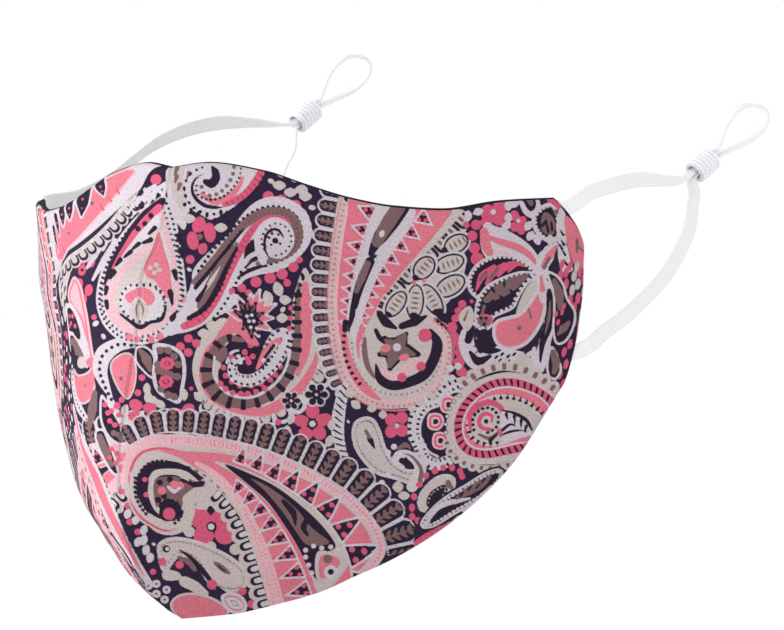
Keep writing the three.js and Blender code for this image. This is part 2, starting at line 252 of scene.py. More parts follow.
def even_stations(points, count):
    """Places in 0 to 1 that space a line's points evenly."""
    lengths = np.concatenate([[0], np.cumsum(np.linalg.norm(np.diff(points, axis=0), axis=1))])
    return np.interp(np.linspace(0, lengths[-1], count), lengths, np.linspace(0, 1, len(points)))


def half_sheet(columns, rows):
    """The left half as a grid of points, evenly spaced along its rows, with directions and arc lengths."""
    fine = np.linspace(0, 1, 400)
    down = even_stations(cloth_point(0 * fine, fine), rows + 1)
    across = np.zeros((rows + 1, columns + 1))
    for r, v in enumerate(down):
        across[r] = even_stations(cloth_point(fine, 0 * fine + v), columns + 1)
    down = np.repeat(down[:, None], columns + 1, axis=1)
    small = 0.002
    points = cloth_point(across, down)
    along = unit(cloth_point(np.minimum(across + small, 1), down)
                 - cloth_point(np.maximum(across - small, 0), down))
    inner = np.maximum(across, small)
    drop = unit(cloth_point(inner, np.minimum(down + small, 1))
                - cloth_point(inner, np.maximum(down - small, 0)))
    inward = unit(np.cross(along, drop))
    lengths = np.linalg.norm(np.diff(points, axis=1), axis=2)
    arc = np.concatenate([np.zeros((rows + 1, 1)), np.cumsum(lengths, axis=1)], axis=1)
    return {"points": points, "along": along, "drop": drop, "inward": inward, "arc": arc,
            "across": across, "down": down}


def sunk(sheet, depth, spread=0.2):
    """The half sheet's points moved into the cup. Near the centre they slide along their rows and meet."""
    depth = np.asarray(depth)
    depth = depth[..., None] if depth.ndim == 2 else depth
    points = sheet["points"] + sheet["inward"] * depth
    nearest = sheet["points"][..., 0] * spread
    short = np.maximum(nearest - points[..., 0], 0)
    slide = short / np.maximum(sheet["along"][..., 0], 0.2)
    points = points + sheet["along"] * slide[..., None]
    points[:, 0, 0] = 0
    return points


def make_object(name, vertices, faces, material, smooth=True):
    """A mesh object in metres from points in millimetres."""
    mesh = bpy.data.meshes.new(name)
    vertices = np.asarray(vertices, np.float64) * MM
    faces = np.asarray(faces, np.int32)
    sides = faces.shape[1]
    mesh.vertices.add(len(vertices))
    mesh.vertices.foreach_set("co", vertices.ravel())
    mesh.loops.add(faces.size)
    mesh.loops.foreach_set("vertex_index", faces.ravel())
    mesh.polygons.add(len(faces))
    mesh.polygons.foreach_set("loop_start", np.arange(0, faces.size, sides, dtype=np.int32))
    mesh.polygons.foreach_set("use_smooth", np.full(len(faces), smooth))
    mesh.update(calc_edges=True)
    mesh.validate()
    mesh.materials.append(material)
    made = bpy.data.objects.new(name, mesh)
    bpy.context.scene.collection.objects.link(made)
    return made


def add_values(made, name, values):
    """A named number for each point of a mesh, for the materials to read."""
    layer = made.data.attributes.new(name, "FLOAT", "POINT")
    layer.data.foreach_set("value", np.ascontiguousarray(values, np.float32).ravel())


def grid_faces(rows, columns, flip=False, start=0):
    """Quads of a grid of rows by columns of points."""
    r, c = np.meshgrid(np.arange(rows - 1), np.arange(columns - 1), indexing="ij")
    a = (start + r * columns + c).ravel()
    quads = np.stack([a, a + columns, a + columns + 1, a + 1], 1)
    return quads[:, ::-1] if flip else quads


# The printed pattern's chart

CHART_STEP = 0.3
CHART_LOW = np.array([-150.0, -4.0])
CHART_HIGH = np.array([122.0, 136.0])
INKS = ("cream", "blush", "salmon", "rose", "taupe", "ink", "chalk")
OVERLAP = 0.08
FAR_OUTSIDE = -20.0
END_GAP = 0.2


class Chart:
    """Signed distances, in millimetres, to what each ink covers. Later paint hides what lies under it."""

    def __init__(self):
        across = np.arange(CHART_LOW[0], CHART_HIGH[0], CHART_STEP)
        down = np.arange(CHART_LOW[1], CHART_HIGH[1], CHART_STEP)
        self.across, self.down = across, down
        shape = (len(down), len(across))
        self.inks = {name: np.full(shape, FAR_OUTSIDE, np.float32) for name in INKS}
        self.mirrored = False

    def window(self, points, margin):
        low = np.min(points, axis=0) - margin
        high = np.max(points, axis=0) + margin
        a, b = np.searchsorted(self.across, (low[0], high[0]))
        c, d = np.searchsorted(self.down, (low[1], high[1]))
        return slice(c, d), slice(a, b)

    def grid(self, window):
        return np.meshgrid(self.across[window[1]], self.down[window[0]])

    def paint(self, ink, window, inside):
        """inside is positive where the ink lies."""
        own = self.inks[ink][window]
        np.maximum(own, inside, out=own)
        for name in INKS[INKS.index(ink) + 1:]:
            other = self.inks[name][window]
            np.minimum(other, OVERLAP - inside, out=other)

    def covered(self):
        return np.maximum.reduce([self.inks[name] for name in INKS])


def smooth_line(points, closed=False, step=0.8):
    """A curve through the points, as a fine polyline."""
    points = np.asarray(points, float)
    if len(points) == 2 and not closed:
        count = max(2, int(np.linalg.norm(points[1] - points[0]) / step))
        return points[0] + np.linspace(0, 1, count)[:, None] * (points[1] - points[0])
    if closed:
        padded = np.vstack([points[-1], points, points[:2]])
    else:
        padded = np.vstack([2 * points[0] - points[1], points, 2 * points[-1] - points[-2]])
    line = []
    for a, b, c, d in zip(padded[:-3], padded[1:-2], padded[2:-1], padded[3:]):
        count = max(2, int(np.linalg.norm(c - b) / step))
        t = np.linspace(0, 1, count, endpoint=False)[:, None]
        line.append(b + 0.5 * t * (c - a + t * (2 * a - 5 * b + 4 * c - d + t * (3 * (b - c) + d - a))))
    line = np.vstack(line)
    return np.vstack([line, line[0] if closed else points[-1]])


class Line:
    """A motif's line: how far each place of the chart lies to its side, and how far along it."""

    def __init__(self, chart, points, widths=None, closed=False, margin=8.0):
        self.chart = chart
        line = smooth_line(points, closed)
        widest = 0 if widths is None else max(widths)
        self.window = chart.window(line, margin + widest)
        x, y = chart.grid(self.window)
        nearest = np.full(x.shape, 1e9)
        self.along = np.zeros(x.shape)
        self.side = np.zeros(x.shape)
        steps = np.diff(line, axis=0)
        lengths = np.hypot(*steps.T)
        starts = np.concatenate([[0], np.cumsum(lengths)])
        self.length = starts[-1]
        for (px, py), (dx, dy), size, start in zip(line[:-1], steps, lengths, starts):
            if size < 1e-9:
                continue
            rx, ry = x - px, y - py
            raw = (rx * dx + ry * dy) / size**2
            share = np.clip(raw, 0, 1)
            gap = (rx - share * dx) ** 2 + (ry - share * dy) ** 2
            near = gap < nearest
            nearest = np.where(near, gap, nearest)
            side = (dx * ry - dy * rx) / size
            self.along = np.where(near, start + share * size, self.along)
            self.side = np.where(near, side, self.side)
        gap = np.sqrt(nearest)
        if closed:
            inside = even_odd(x, y, line)
            self.out = np.where(inside, gap, -gap)
            return
        self.out = np.where((self.side > 0) != chart.mirrored, gap, -gap)
        if widths is None:
            return
        stops = np.linspace(0, self.length, len(widths))
        half = np.interp(self.along, stops, widths)
        if widths[0] > 0:
            first = steps[0] / lengths[0]
            back = -((x - line[0][0]) * first[0] + (y - line[0][1]) * first[1])
            turn = np.arctan2(back, np.abs(self.side))
            self.along = np.where((self.along < 1e-6) & (back > 0), -turn * widths[0], self.along)
        self.out = half - gap

    def fill(self, ink, inset=0.0):
        self.chart.paint(ink, self.window, self.out - inset)
        return self

    def ribbon(self, ink, half_widths):
        """A stripe along the line, in half widths at even steps."""
        half = np.interp(self.along, np.linspace(0, self.length, len(half_widths)), half_widths)
        self.chart.paint(ink, self.window, half - np.abs(self.out))
        return self

    def band(self, ink, low, high):
        self.chart.paint(ink, self.window, np.minimum(self.out - low, high - self.out))
        return self

    def repeat(self, spacing, start=0.0, stop=None, grow=1.0):
        """Place inside each repeat, the space of that repeat, and how far inside both ends it lies."""
        stop = self.length if stop is None else stop
        share = np.clip((self.along - start) / max(stop - start, 1e-6), 0, 1)
        if abs(grow - 1) < 1e-3:
            count = (self.along - start) / spacing
            local = np.full(count.shape, spacing)
        else:
            rate = (grow - 1) / (stop - start)
            travelled = np.clip(self.along - start, 0, None)
            count = np.log1p(rate * travelled) / (rate * spacing)
            local = spacing * (1 + (grow - 1) * share)
        place = (count - np.floor(count) - 0.5) * local
        ends = np.minimum(self.along - start, stop - self.along) - END_GAP
        return place, local, ends

    def dots(self, ink, level, spacing, radius, **way):
        place, local, ends = self.repeat(spacing, **way)
        size = radius * local / spacing
        inside = size - np.hypot(place, self.out - level)
        self.chart.paint(ink, self.window, np.minimum(inside, ends + size))
        return self

    def dashes(self, ink, level, spacing, length, width, slant=0.0, **way):
        place, local, ends = self.repeat(spacing, **way)
        size = local / spacing
        place = place - slant * (self.out - level)
        inside = np.minimum(length * size / 2 - np.abs(place), width * size / 2 - np.abs(self.out - level))
        self.chart.paint(ink, self.window, np.minimum(inside, ends))
        return self

    def teeth(self, ink, base, height, spacing, full=0.9, inset=0.0, **way):
        """Pointed teeth that stand on a level and rise with the sign of their height."""
        rise = (self.out - base) * np.sign(height)
        place, local, ends = self.repeat(spacing, **way)
        tall = abs(height) * local / spacing
        inside = (local * full / 2) * (1 - rise / tall) - np.abs(place) - inset
        inside = np.minimum(inside * 0.9, rise - inset)
        self.chart.paint(ink, self.window, np.minimum(inside, ends))
        return self

    def beaded_teeth(self, height, spacing, outline=0.55, **way):
        """Dark teeth in a pale outline, each with three rose dots."""
        self.teeth("chalk", 0.0, height, spacing, full=1.0, **way)
        self.teeth("ink", 0.0, height, spacing, full=1.0, inset=outline, **way)
        rise = self.out * np.sign(height)
        place, local, ends = self.repeat(spacing, **way)
        tall = abs(height) * local / spacing
        for aside, up in ((-0.19, 0.2), (0.19, 0.2), (0.0, 0.48)):
            inside = 0.125 * local - np.hypot(place - aside * local, rise - up * tall)
            self.chart.paint("rose", self.window, np.minimum(inside, ends))
        return self

    def ears(self, height, spacing, outline=0.5, **way):
        """Dark leaves in a pale outline, each with a stack of taupe barbs."""
        self.leaves("chalk", 0.0, height, spacing, full=1.0, **way)
        self.leaves("ink", 0.0, height, spacing, full=1.0, inset=outline, **way)
        rise = self.out * np.sign(height)
        place, local, ends = self.repeat(spacing, **way)
        tall = abs(height) * local / spacing
        pitch = 0.4 * local
        barb = np.mod(rise - 0.9 * np.abs(place), pitch)
        inside = 0.32 * pitch - np.abs(barb - 0.5 * pitch)
        inside = np.minimum(inside, (0.34 - 0.14 * rise / tall) * local - np.abs(place))
        inside = np.minimum(inside, np.minimum(rise - outline, tall - 1.6 * outline - rise))
        stem = np.minimum(0.35 - np.abs(place), np.minimum(rise - outline, tall - 2.0 * outline - rise))
        self.chart.paint("taupe", self.window, np.minimum(np.maximum(inside, stem), ends))
        return self

    def leaves(self, ink, base, height, spacing, full=0.9, inset=0.0, **way):
        """Round-tipped leaves that stand on a level."""
        rise = (self.out - base) * np.sign(height)
        place, local, ends = self.repeat(spacing, **way)
        tall = abs(height) * local / spacing
        wide = local * full / 2
        upper = np.clip((rise - tall + wide) / wide, 0, 1)
        shape = np.hypot(place, upper * wide)
        inside = np.minimum(wide - shape, np.minimum(rise, tall - rise)) - inset
        self.chart.paint(ink, self.window, np.minimum(inside, ends))
        return self


def even_odd(x, y, line):
    """Whether each place lies inside a closed line."""
    inside = np.zeros(x.shape, bool)
    for (ax, ay), (bx, by) in zip(line[:-1], line[1:]):
        if ay == by:
            continue
        crosses = (ay > y) != (by > y)
        inside ^= crosses & (x < (bx - ax) * (y - ay) / (by - ay) + ax)
    return inside


def read_chart(chart, ink, across, down):
    """An ink's distances at any places, from the chart's own grid."""
    values = chart.inks[ink]
    x = np.clip((across - chart.across[0]) / CHART_STEP, 0, values.shape[1] - 1.001)
    y = np.clip((down - chart.down[0]) / CHART_STEP, 0, values.shape[0] - 1.001)
    i, j = x.astype(int), y.astype(int)
    u, v = x - i, y - j
    top = values[j, i] * (1 - u) + values[j, i + 1] * u
    low = values[j + 1, i] * (1 - u) + values[j + 1, i + 1] * u
    return top * (1 - v) + low * v


# The motifs are drawn on squares of SQUARE millimetres. The nose bridge lies on NOSE_SQUARE.

SQUARE = 1 / 3.4
NOSE_SQUARE = np.array([171, 168])
# How far round a mark the chart is worked out, in millimetres
MARK_MARGIN = 2.5


def on_chart(chart, squares):
    """Places on the cloth, in millimetres, from squares of the drawing."""
    places = (np.asarray(squares, float) - NOSE_SQUARE) * SQUARE
    return places * np.array([-1, 1]) if chart.mirrored else places


def shape(chart, squares):
    """A closed line through squares of the drawing."""
    return Line(chart, on_chart(chart, squares), closed=True, margin=MARK_MARGIN)


def line(chart, squares, half_widths=None):
    """An open line through squares of the drawing."""
    return Line(chart, on_chart(chart, squares), half_widths)


def stroke(chart, ink, squares, half_widths):
    """A line filled with one ink. Its half widths stand at even steps along it."""
    made = Line(chart, on_chart(chart, squares), half_widths, margin=MARK_MARGIN)
    return made.fill(ink)


def on_squares(draw, chart, ink, squares, *size):
    """The same mark on each of the squares."""
    for square in squares:
        draw(chart, ink, square, *size)


def with_sizes(draw, chart, ink, marks):
    """Marks that each give a square and then their own size."""
    for x, y, *size in marks:
        draw(chart, ink, (x, y), *size)


def local_grid(chart, square, reach, turn):
    """Places around a square, turned by an angle in degrees."""
    x, y = on_chart(chart, [square])[0]
    window = chart.window([(x, y)], reach + MARK_MARGIN)
    across, down = chart.grid(window)
    a = math.radians(-turn if chart.mirrored else turn)
    u = (across - x) * math.cos(a) + (down - y) * math.sin(a)
    v = (down - y) * math.cos(a) - (across - x) * math.sin(a)
    return window, u, v


def disc(chart, ink, square, radius):
    """A round dot."""
    window, u, v = local_grid(chart, square, radius, 0)
    chart.paint(ink, window, radius - np.hypot(u, v))


def petal(chart, ink, square, half_wide, half_tall, turn=0):
    """A plain oval."""
    window, u, v = local_grid(chart, square, max(half_wide, half_tall), turn)
    chart.paint(ink, window, (1 - np.hypot(u / half_wide, v / half_tall)) * min(half_wide, half_tall))


def leaf(chart, ink, square, half_wide, half_tall, turn=0):
    """An oval with two pointed ends."""
    window, u, v = local_grid(chart, square, max(half_wide, half_tall), turn)
    wide = half_wide * (1 - np.clip(np.abs(v) / half_tall, 0, 2) ** 2)
    chart.paint(ink, window, np.minimum((wide - np.abs(u)) * 0.8, half_tall - np.abs(v)))



def left_band(chart):
    """The far half's top: a broad salmon leaf with dark teeth, and a row of scallops under it."""
    belt = shape(chart, [(20, 262), (20, 205), (36, 206), (60, 198), (90, 184), (120, 170), (150, 160),
        (172, 160), (160, 172), (140, 190), (122, 206), (100, 226), (80, 242), (56, 258), (40, 270),
        (28, 280)])
    belt.fill("chalk")
    leafy = shape(chart, [(34, 258), (36, 238), (44, 222), (56, 210), (70, 200), (88, 188), (108, 176),
        (128, 168), (138, 171), (128, 184), (111, 204), (94, 223), (76, 242), (54, 260)])
    leafy.fill("blush")
    leafy.fill("salmon", 0.7)
    for x, y, dx, dy in [(44, 262, -5, -7), (52, 258, -3, -8), (60, 252, -3, -8), (104, 210, -4, -6),
        (112, 202, -4, -6), (120, 194, -4, -6)]:
        stroke(chart, "rose", [(x, y), (x+dx, y+dy)], [0.35, 0.2])
    for tip, base, wide in [((44, 252), (40, 228), 1.2), ((54, 236), (50, 216), 1.2),
        ((62, 226), (60, 208), 1.2), ((69, 220), (68, 202), 1.3), ((81, 217), (83, 190), 2.3),
        ((104, 196), (99, 182), 1.8)]:
        stroke(chart, "chalk", [base, ((tip[0]+base[0])/2, (tip[1]+base[1])/2), tip],
            [wide+0.5, wide*0.8+0.5, 0.5])
        stroke(chart, "ink", [base, ((tip[0]+base[0])/2, (tip[1]+base[1])/2), tip], [wide, wide*0.8, 0.1])
        disc(chart, "rose", ((tip[0]+2*base[0])/3, (tip[1]+2*base[1])/3), 0.5)
        disc(chart, "rose", ((2*tip[0]+base[0])/3, (2*tip[1]+base[1])/3), 0.4)
    disc(chart, "taupe", (92, 203), 0.6)
    disc(chart, "taupe", (68, 233), 0.4)
    scallops = line(chart, [(40, 272), (60, 262), (80, 250), (98, 236), (112, 222), (124, 208),
        (138, 196), (150, 182), (158, 170)])
    scallops.leaves("chalk", -0.6, 4.6, 3.0, full=1.15)
    scallops.leaves("ink", 0.4, 3.2, 3.0, full=0.95)
    scallops.leaves("cream", -0.6, 3.3, 3.0, full=0.62)
    patch = shape(chart, [(144, 184), (150, 173), (160, 166), (172, 166), (176, 186), (170, 206),
        (160, 200), (150, 206), (138, 210), (136, 200)])
    patch.fill("ink")
    disc(chart, "rose", (157, 180), 1.7)
    disc(chart, "chalk", (146, 190), 0.6)
    for squares in [[(138, 206), (140, 198), (146, 202)], [(146, 202), (149, 193), (155, 199)],
        [(155, 199), (158, 190), (165, 196)], [(165, 196), (167, 186), (173, 190)]]:
        stroke(chart, "chalk", squares, [0.35, 0.55, 0.35])
    for squares in [[(150, 203), (156, 192), (166, 184)], [(144, 196), (150, 190), (156, 186)]]:
        stroke(chart, "chalk", squares, [0.3, 0.7, 0.5])
    stroke(chart, "chalk", [(128, 214), (136, 204), (146, 196), (150, 204), (142, 212)],
        [0.3, 0.4, 0.5, 0.4, 0.3])
    on_squares(disc, chart, "chalk", [(133, 206), (140, 202), (147, 206), (136, 213)], 0.5)


def nose_drop(chart):
    """Beside the nose: a teardrop of dotted rings round an onion-shaped bud."""
    ring = shape(chart, [(166, 196), (176, 216), (181, 240), (186, 270), (188, 300), (182, 322),
        (166, 338), (144, 344), (122, 340), (106, 326), (98, 306), (99, 284), (106, 262), (118, 240),
        (134, 220), (150, 206)])
    ring.fill("chalk")
    ring.dots("ink", 1.0, 1.65, 0.56)
    edge = shape(chart, [(162, 206), (172, 232), (180, 262), (183, 294), (178, 314), (162, 331),
        (142, 337), (122, 332), (108, 318), (103, 300), (105, 282), (114, 258), (128, 236), (146, 216)])
    edge.band("blush", 0.7, 2.2)
    edge.dots("ink", 0.1, 1.65, 0.5)
    on_squares(disc, chart, "salmon", [(131, 337), (139, 339), (153, 339), (162, 336), (171, 330),
        (178, 320), (184, 312), (187, 300)], 1.1)
    stroke(chart, "ink", [(163, 202), (148, 216), (134, 232), (122, 250), (112, 268), (106, 284)],
        [1.2, 1.9, 1.7, 1.4, 1.1, 0.4])
    stroke(chart, "rose", [(160, 208), (146, 221), (134, 236), (122, 254), (114, 268)],
        [1.2, 1.1, 1.0, 0.7, 0.4])
    on_squares(disc, chart, "ink", [(152, 216), (146, 224), (139, 229)], 0.8)
    zone = shape(chart, [(154, 232), (146, 244), (134, 256), (122, 270), (114, 286), (112, 304),
        (118, 320), (132, 330), (150, 330), (166, 320), (174, 300), (172, 270), (164, 244), (158, 226)])
    zone.fill("cream")
    stroke(chart, "blush", [(150, 246), (134, 260), (120, 276), (114, 296), (118, 316), (134, 328),
        (154, 328)], [0.7, 0.9, 0.9, 0.8, 0.8, 0.8, 0.5])
    for squares in [[(156, 228), (150, 234)], [(152, 240), (144, 243)], [(140, 244), (134, 249)],
        [(132, 252), (126, 257)], [(122, 260), (118, 265)], [(116, 272), (112, 278)],
        [(108, 288), (107, 294)], [(108, 302), (109, 308)]]:
        stroke(chart, "ink", squares, [0.8, 0.5])
    wedge = shape(chart, [(160, 232), (166, 250), (172, 272), (173, 296), (164, 296), (158, 282),
        (148, 276), (146, 266), (153, 250)])
    wedge.fill("salmon")
    on_squares(disc, chart, "cream", [(152, 268), (158, 265), (161, 270), (156, 273)], 0.8)
    bud = shape(chart, [(142, 284), (156, 284), (167, 296), (168, 312), (160, 320), (146, 324),
        (130, 318), (121, 306), (123, 292), (132, 284)])
    bud.fill("chalk")
    bud.dots("ink", 0.5, 2.00, 0.55)
    shape(chart, [(126, 296), (134, 290), (144, 287), (154, 291), (157, 300), (150, 306), (140, 296),
        (132, 304)]).fill("salmon")
    onion = shape(chart, [(141, 296), (148, 303), (151, 312), (146, 319), (139, 320), (132, 316),
        (132, 307), (137, 301)])
    onion.fill("cream")
    stroke(chart, "taupe", [(141, 300), (138, 308), (139, 317)], [0.2, 0.3, 0.2])
    stroke(chart, "taupe", [(141, 300), (145, 308), (144, 317)], [0.2, 0.3, 0.2])
    stroke(chart, "ink", [(122, 314), (132, 321), (142, 327), (152, 322), (163, 319), (168, 306)],
        [0.3, 0.5, 0.7, 0.5, 0.6, 0.3])
    on_squares(disc, chart, "ink", [(146, 285), (152, 286), (158, 289), (162, 293), (165, 299),
        (166, 306)], 0.5)
    for squares in [[(176, 272), (178, 280)], [(172, 292), (174, 304)], [(174, 318), (178, 312)],
        [(182, 250), (184, 258)], [(180, 236), (181, 244)]]:
        stroke(chart, "ink", squares, [0.9, 0.4])


def left_leaves(chart):
    """The far side: a long pale leaf, a salmon bulb between dark leaves, and stripes down to the chin."""
    on_squares(petal, chart, "rose", [(84, 258), (83, 270), (80, 284), (76, 262), (90, 290), (84, 300),
        (70, 296), (92, 262)], 1.2, 1.7, 10)
    disc(chart, "ink", (83, 270), 0.5)
    for squares in [[(88, 268), (98, 252), (104, 244)], [(94, 280), (104, 262), (116, 240)],
        [(104, 250), (110, 236), (120, 224)]]:
        stroke(chart, "chalk", squares, [0.4, 0.9, 0.5])
    wisps = shape(chart, [(40, 272), (58, 268), (70, 270), (66, 286), (60, 310), (50, 322), (44, 300)])
    wisps.fill("cream")
    for x, y in [(48, 280), (56, 276), (60, 290), (50, 296), (56, 304), (46, 310), (62, 300), (52, 286)]:
        stroke(chart, "ink", [(x-2, y+3), (x+2, y-3)], [0.25, 0.5])
    long = shape(chart, [(75, 276), (82, 284), (86, 300), (90, 320), (93, 340), (96, 362), (88, 356),
        (84, 336), (79, 318), (70, 306), (66, 296), (70, 284)])
    long.fill("blush")
    long.band("salmon", 0.7, 1.2)
    bow = shape(chart, [(60, 306), (70, 303), (78, 312), (84, 328), (90, 346), (92, 362), (88, 368),
        (80, 356), (72, 348), (62, 352), (58, 340), (57, 322)])
    bow.fill("chalk")
    shape(chart, [(62, 310), (70, 308), (77, 318), (82, 334), (80, 340), (70, 332),
        (61, 330)]).fill("ink")
    on_squares(disc, chart, "rose", [(66, 316), (72, 316), (68, 323), (75, 326), (64, 326)], 0.8)
    shape(chart, [(62, 338), (70, 335), (78, 342), (84, 352), (86, 362), (78, 364), (72, 356),
        (64, 358)]).fill("ink")
    stroke(chart, "taupe", [(64, 342), (72, 342), (78, 352), (84, 362)], [1.0, 1.5, 1.5, 0.8])
    disc(chart, "ink", (76, 360), 1.5)
    bulb = shape(chart, [(68, 368), (78, 374), (88, 372), (96, 364), (102, 368), (98, 384), (94, 398),
        (84, 404), (74, 398), (68, 386)])
    outer = line(chart, [(64, 366), (62, 382), (68, 398), (80, 410), (88, 418)])
    outer.ribbon("chalk", [0.6, 1.6, 2.0, 1.8, 0.8])
    outer.dots("ink", 0.0, 1.60, 0.53)
    bulb.fill("cream")
    bulb.fill("salmon", 0.6)
    disc(chart, "cream", (83, 362), 1.8)
    disc(chart, "salmon", (93, 362), 1.6)
    disc(chart, "taupe", (87, 385), 0.4)
    stroke(chart, "chalk", [(97, 372), (104, 386), (112, 400), (122, 418), (132, 434)],
        [0.4, 1.0, 1.2, 1.0, 0.5])
    stroke(chart, "ink", [(98, 378), (104, 396), (104, 412)], [0.5, 1.6, 1.4])
    stroke(chart, "taupe", [(97, 392), (94, 410), (92, 424)], [0.8, 1.4, 0.8])
    spear = shape(chart, [(103, 394), (112, 404), (122, 420), (131, 440), (122, 444), (110, 436),
        (102, 418)])
    spear.fill("chalk")
    spear.fill("ink", 0.6)
    on_squares(disc, chart, "rose", [(107, 404), (110, 412), (114, 410), (112, 420), (117, 424)], 0.9)
    on_squares(disc, chart, "taupe", [(116, 432), (121, 434), (124, 438)], 1.0)
    low = shape(chart, [(97, 430), (106, 428), (112, 440), (118, 456), (122, 474), (114, 472),
        (104, 456), (98, 442)])
    low.fill("chalk")
    low.fill("ink", 0.6)
    stroke(chart, "taupe", [(102, 436), (108, 450), (114, 464)], [1.1, 1.2, 0.6])
    on_squares(disc, chart, "rose", [(112, 456), (119, 452), (118, 462), (114, 448)], 0.8)
    petals = shape(chart, [(118, 356), (128, 352), (136, 356), (139, 372), (136, 390), (130, 399),
        (122, 392), (114, 376), (112, 364)])
    halo = line(chart, [(136, 346), (120, 345), (106, 354), (102, 368), (106, 382), (114, 398)])
    halo.ribbon("chalk", [0.4, 2.0, 2.6, 2.2, 1.4, 0.4])
    halo.dots("ink", 0.2, 1.90, 0.66)
    petals.fill("cream")
    petals.fill("salmon", 0.5)
    disc(chart, "taupe", (123, 378), 0.6)
    seed = shape(chart, [(138, 347), (148, 346), (156, 354), (158, 368), (154, 378), (144, 370),
        (137, 360)])
    seed.fill("chalk")
    seed.fill("ink", 0.5)
    stroke(chart, "taupe", [(142, 350), (148, 358), (152, 370)], [0.7, 1.6, 0.6])
    dotted = shape(chart, [(155, 344), (170, 344), (184, 352), (188, 368), (186, 386), (182, 402),
        (172, 400), (158, 390), (154, 372), (156, 356)])
    dotted.fill("chalk")
    dotted.fill("ink", 1.0)
    on_squares(disc, chart, "taupe", [(162, 350), (170, 350), (176, 356), (180, 364), (160, 370),
        (166, 372), (172, 374), (179, 376), (163, 388), (170, 394), (176, 396), (160, 364)], 1.2)
    for cx, cy in [(169, 363), (168, 381)]:
        for k in range(8):
            a = k * math.pi / 4
            disc(chart, "rose", (cx + 5.5 * math.cos(a), cy + 4.6 * math.sin(a)), 0.75)
        disc(chart, "rose", (cx, cy), 0.6)
    with_sizes(petal, chart, "rose", [(138, 404, 2.0, 1.6, 20), (152, 407, 1.9, 1.6, 0),
        (137, 415, 1.9, 1.6, -20), (150, 420, 2.4, 1.9, 10)])
    disc(chart, "chalk", (144, 412), 0.7)
    with_sizes(petal, chart, "rose", [(178, 412, 1.9, 1.4, 0), (190, 408, 1.9, 1.5, -30)])
    with_sizes(disc, chart, "rose", [(144, 377, 1.0), (140, 392, 1.0), (119, 405, 1.1), (124, 399, 0.9),
        (121, 414, 0.9), (124, 424, 0.9), (132, 432, 1.1)])
    for x, y, turn in [(149, 388, 0), (150, 396, 10), (155, 399, -60), (162, 403, -60), (127, 409, 20),
        (135, 424, -30), (164, 418, -50), (184, 420, -40), (196, 413, -60), (202, 418, -60),
        (186, 394, 0), (200, 396, -40), (128, 419, 0)]:
        leaf(chart, "cream", (x, y), 1.1, 1.9, turn)
    for squares, ink, widths in [([(58, 408), (72, 432), (88, 460), (102, 488), (120, 530), (138, 562),
        (150, 580)], "chalk", [1.4, 2.0, 2.2, 2.2, 2.0, 1.6, 1.0]),
        ([(62, 412), (76, 440), (94, 470), (108, 502), (128, 542), (146, 574)], "salmon",
        [0.6, 1.1, 1.3, 1.1, 0.9, 0.3]), ([(58, 430), (66, 452), (78, 478), (92, 510), (108, 544),
        (120, 562)], "blush", [1.6, 2.4, 2.6, 2.4, 1.8, 1.0])]:
        stroke(chart, ink, squares, widths)
    rail = line(chart, [(80, 424), (92, 448), (106, 478), (118, 508), (132, 540), (146, 566)])
    rail.dashes("ink", 0.0, 1.9, 1.1, 0.5)
    rail2 = line(chart, [(62, 432), (70, 452), (82, 478), (96, 508), (112, 540)])
    rail2.dashes("ink", 0.0, 3.4, 1.7, 0.7)
    rail2.dashes("rose", -1.6, 2.7, 1.2, 0.7)
    on_squares(disc, chart, "rose", [(136, 452), (134, 464), (127, 476), (124, 490), (130, 504),
        (140, 530), (132, 520)], 1.0)
    on_squares(leaf, chart, "chalk", [(130, 512), (138, 518), (146, 528), (140, 540), (148, 548),
        (152, 556), (146, 538)], 1.1, 1.7, 20)
    for x, y in [(150, 584), (158, 592), (166, 598), (150, 594), (158, 582), (168, 588)]:
        disc(chart, "chalk", (x, y), 1.2)
        disc(chart, "ink", (x, y), 0.5)


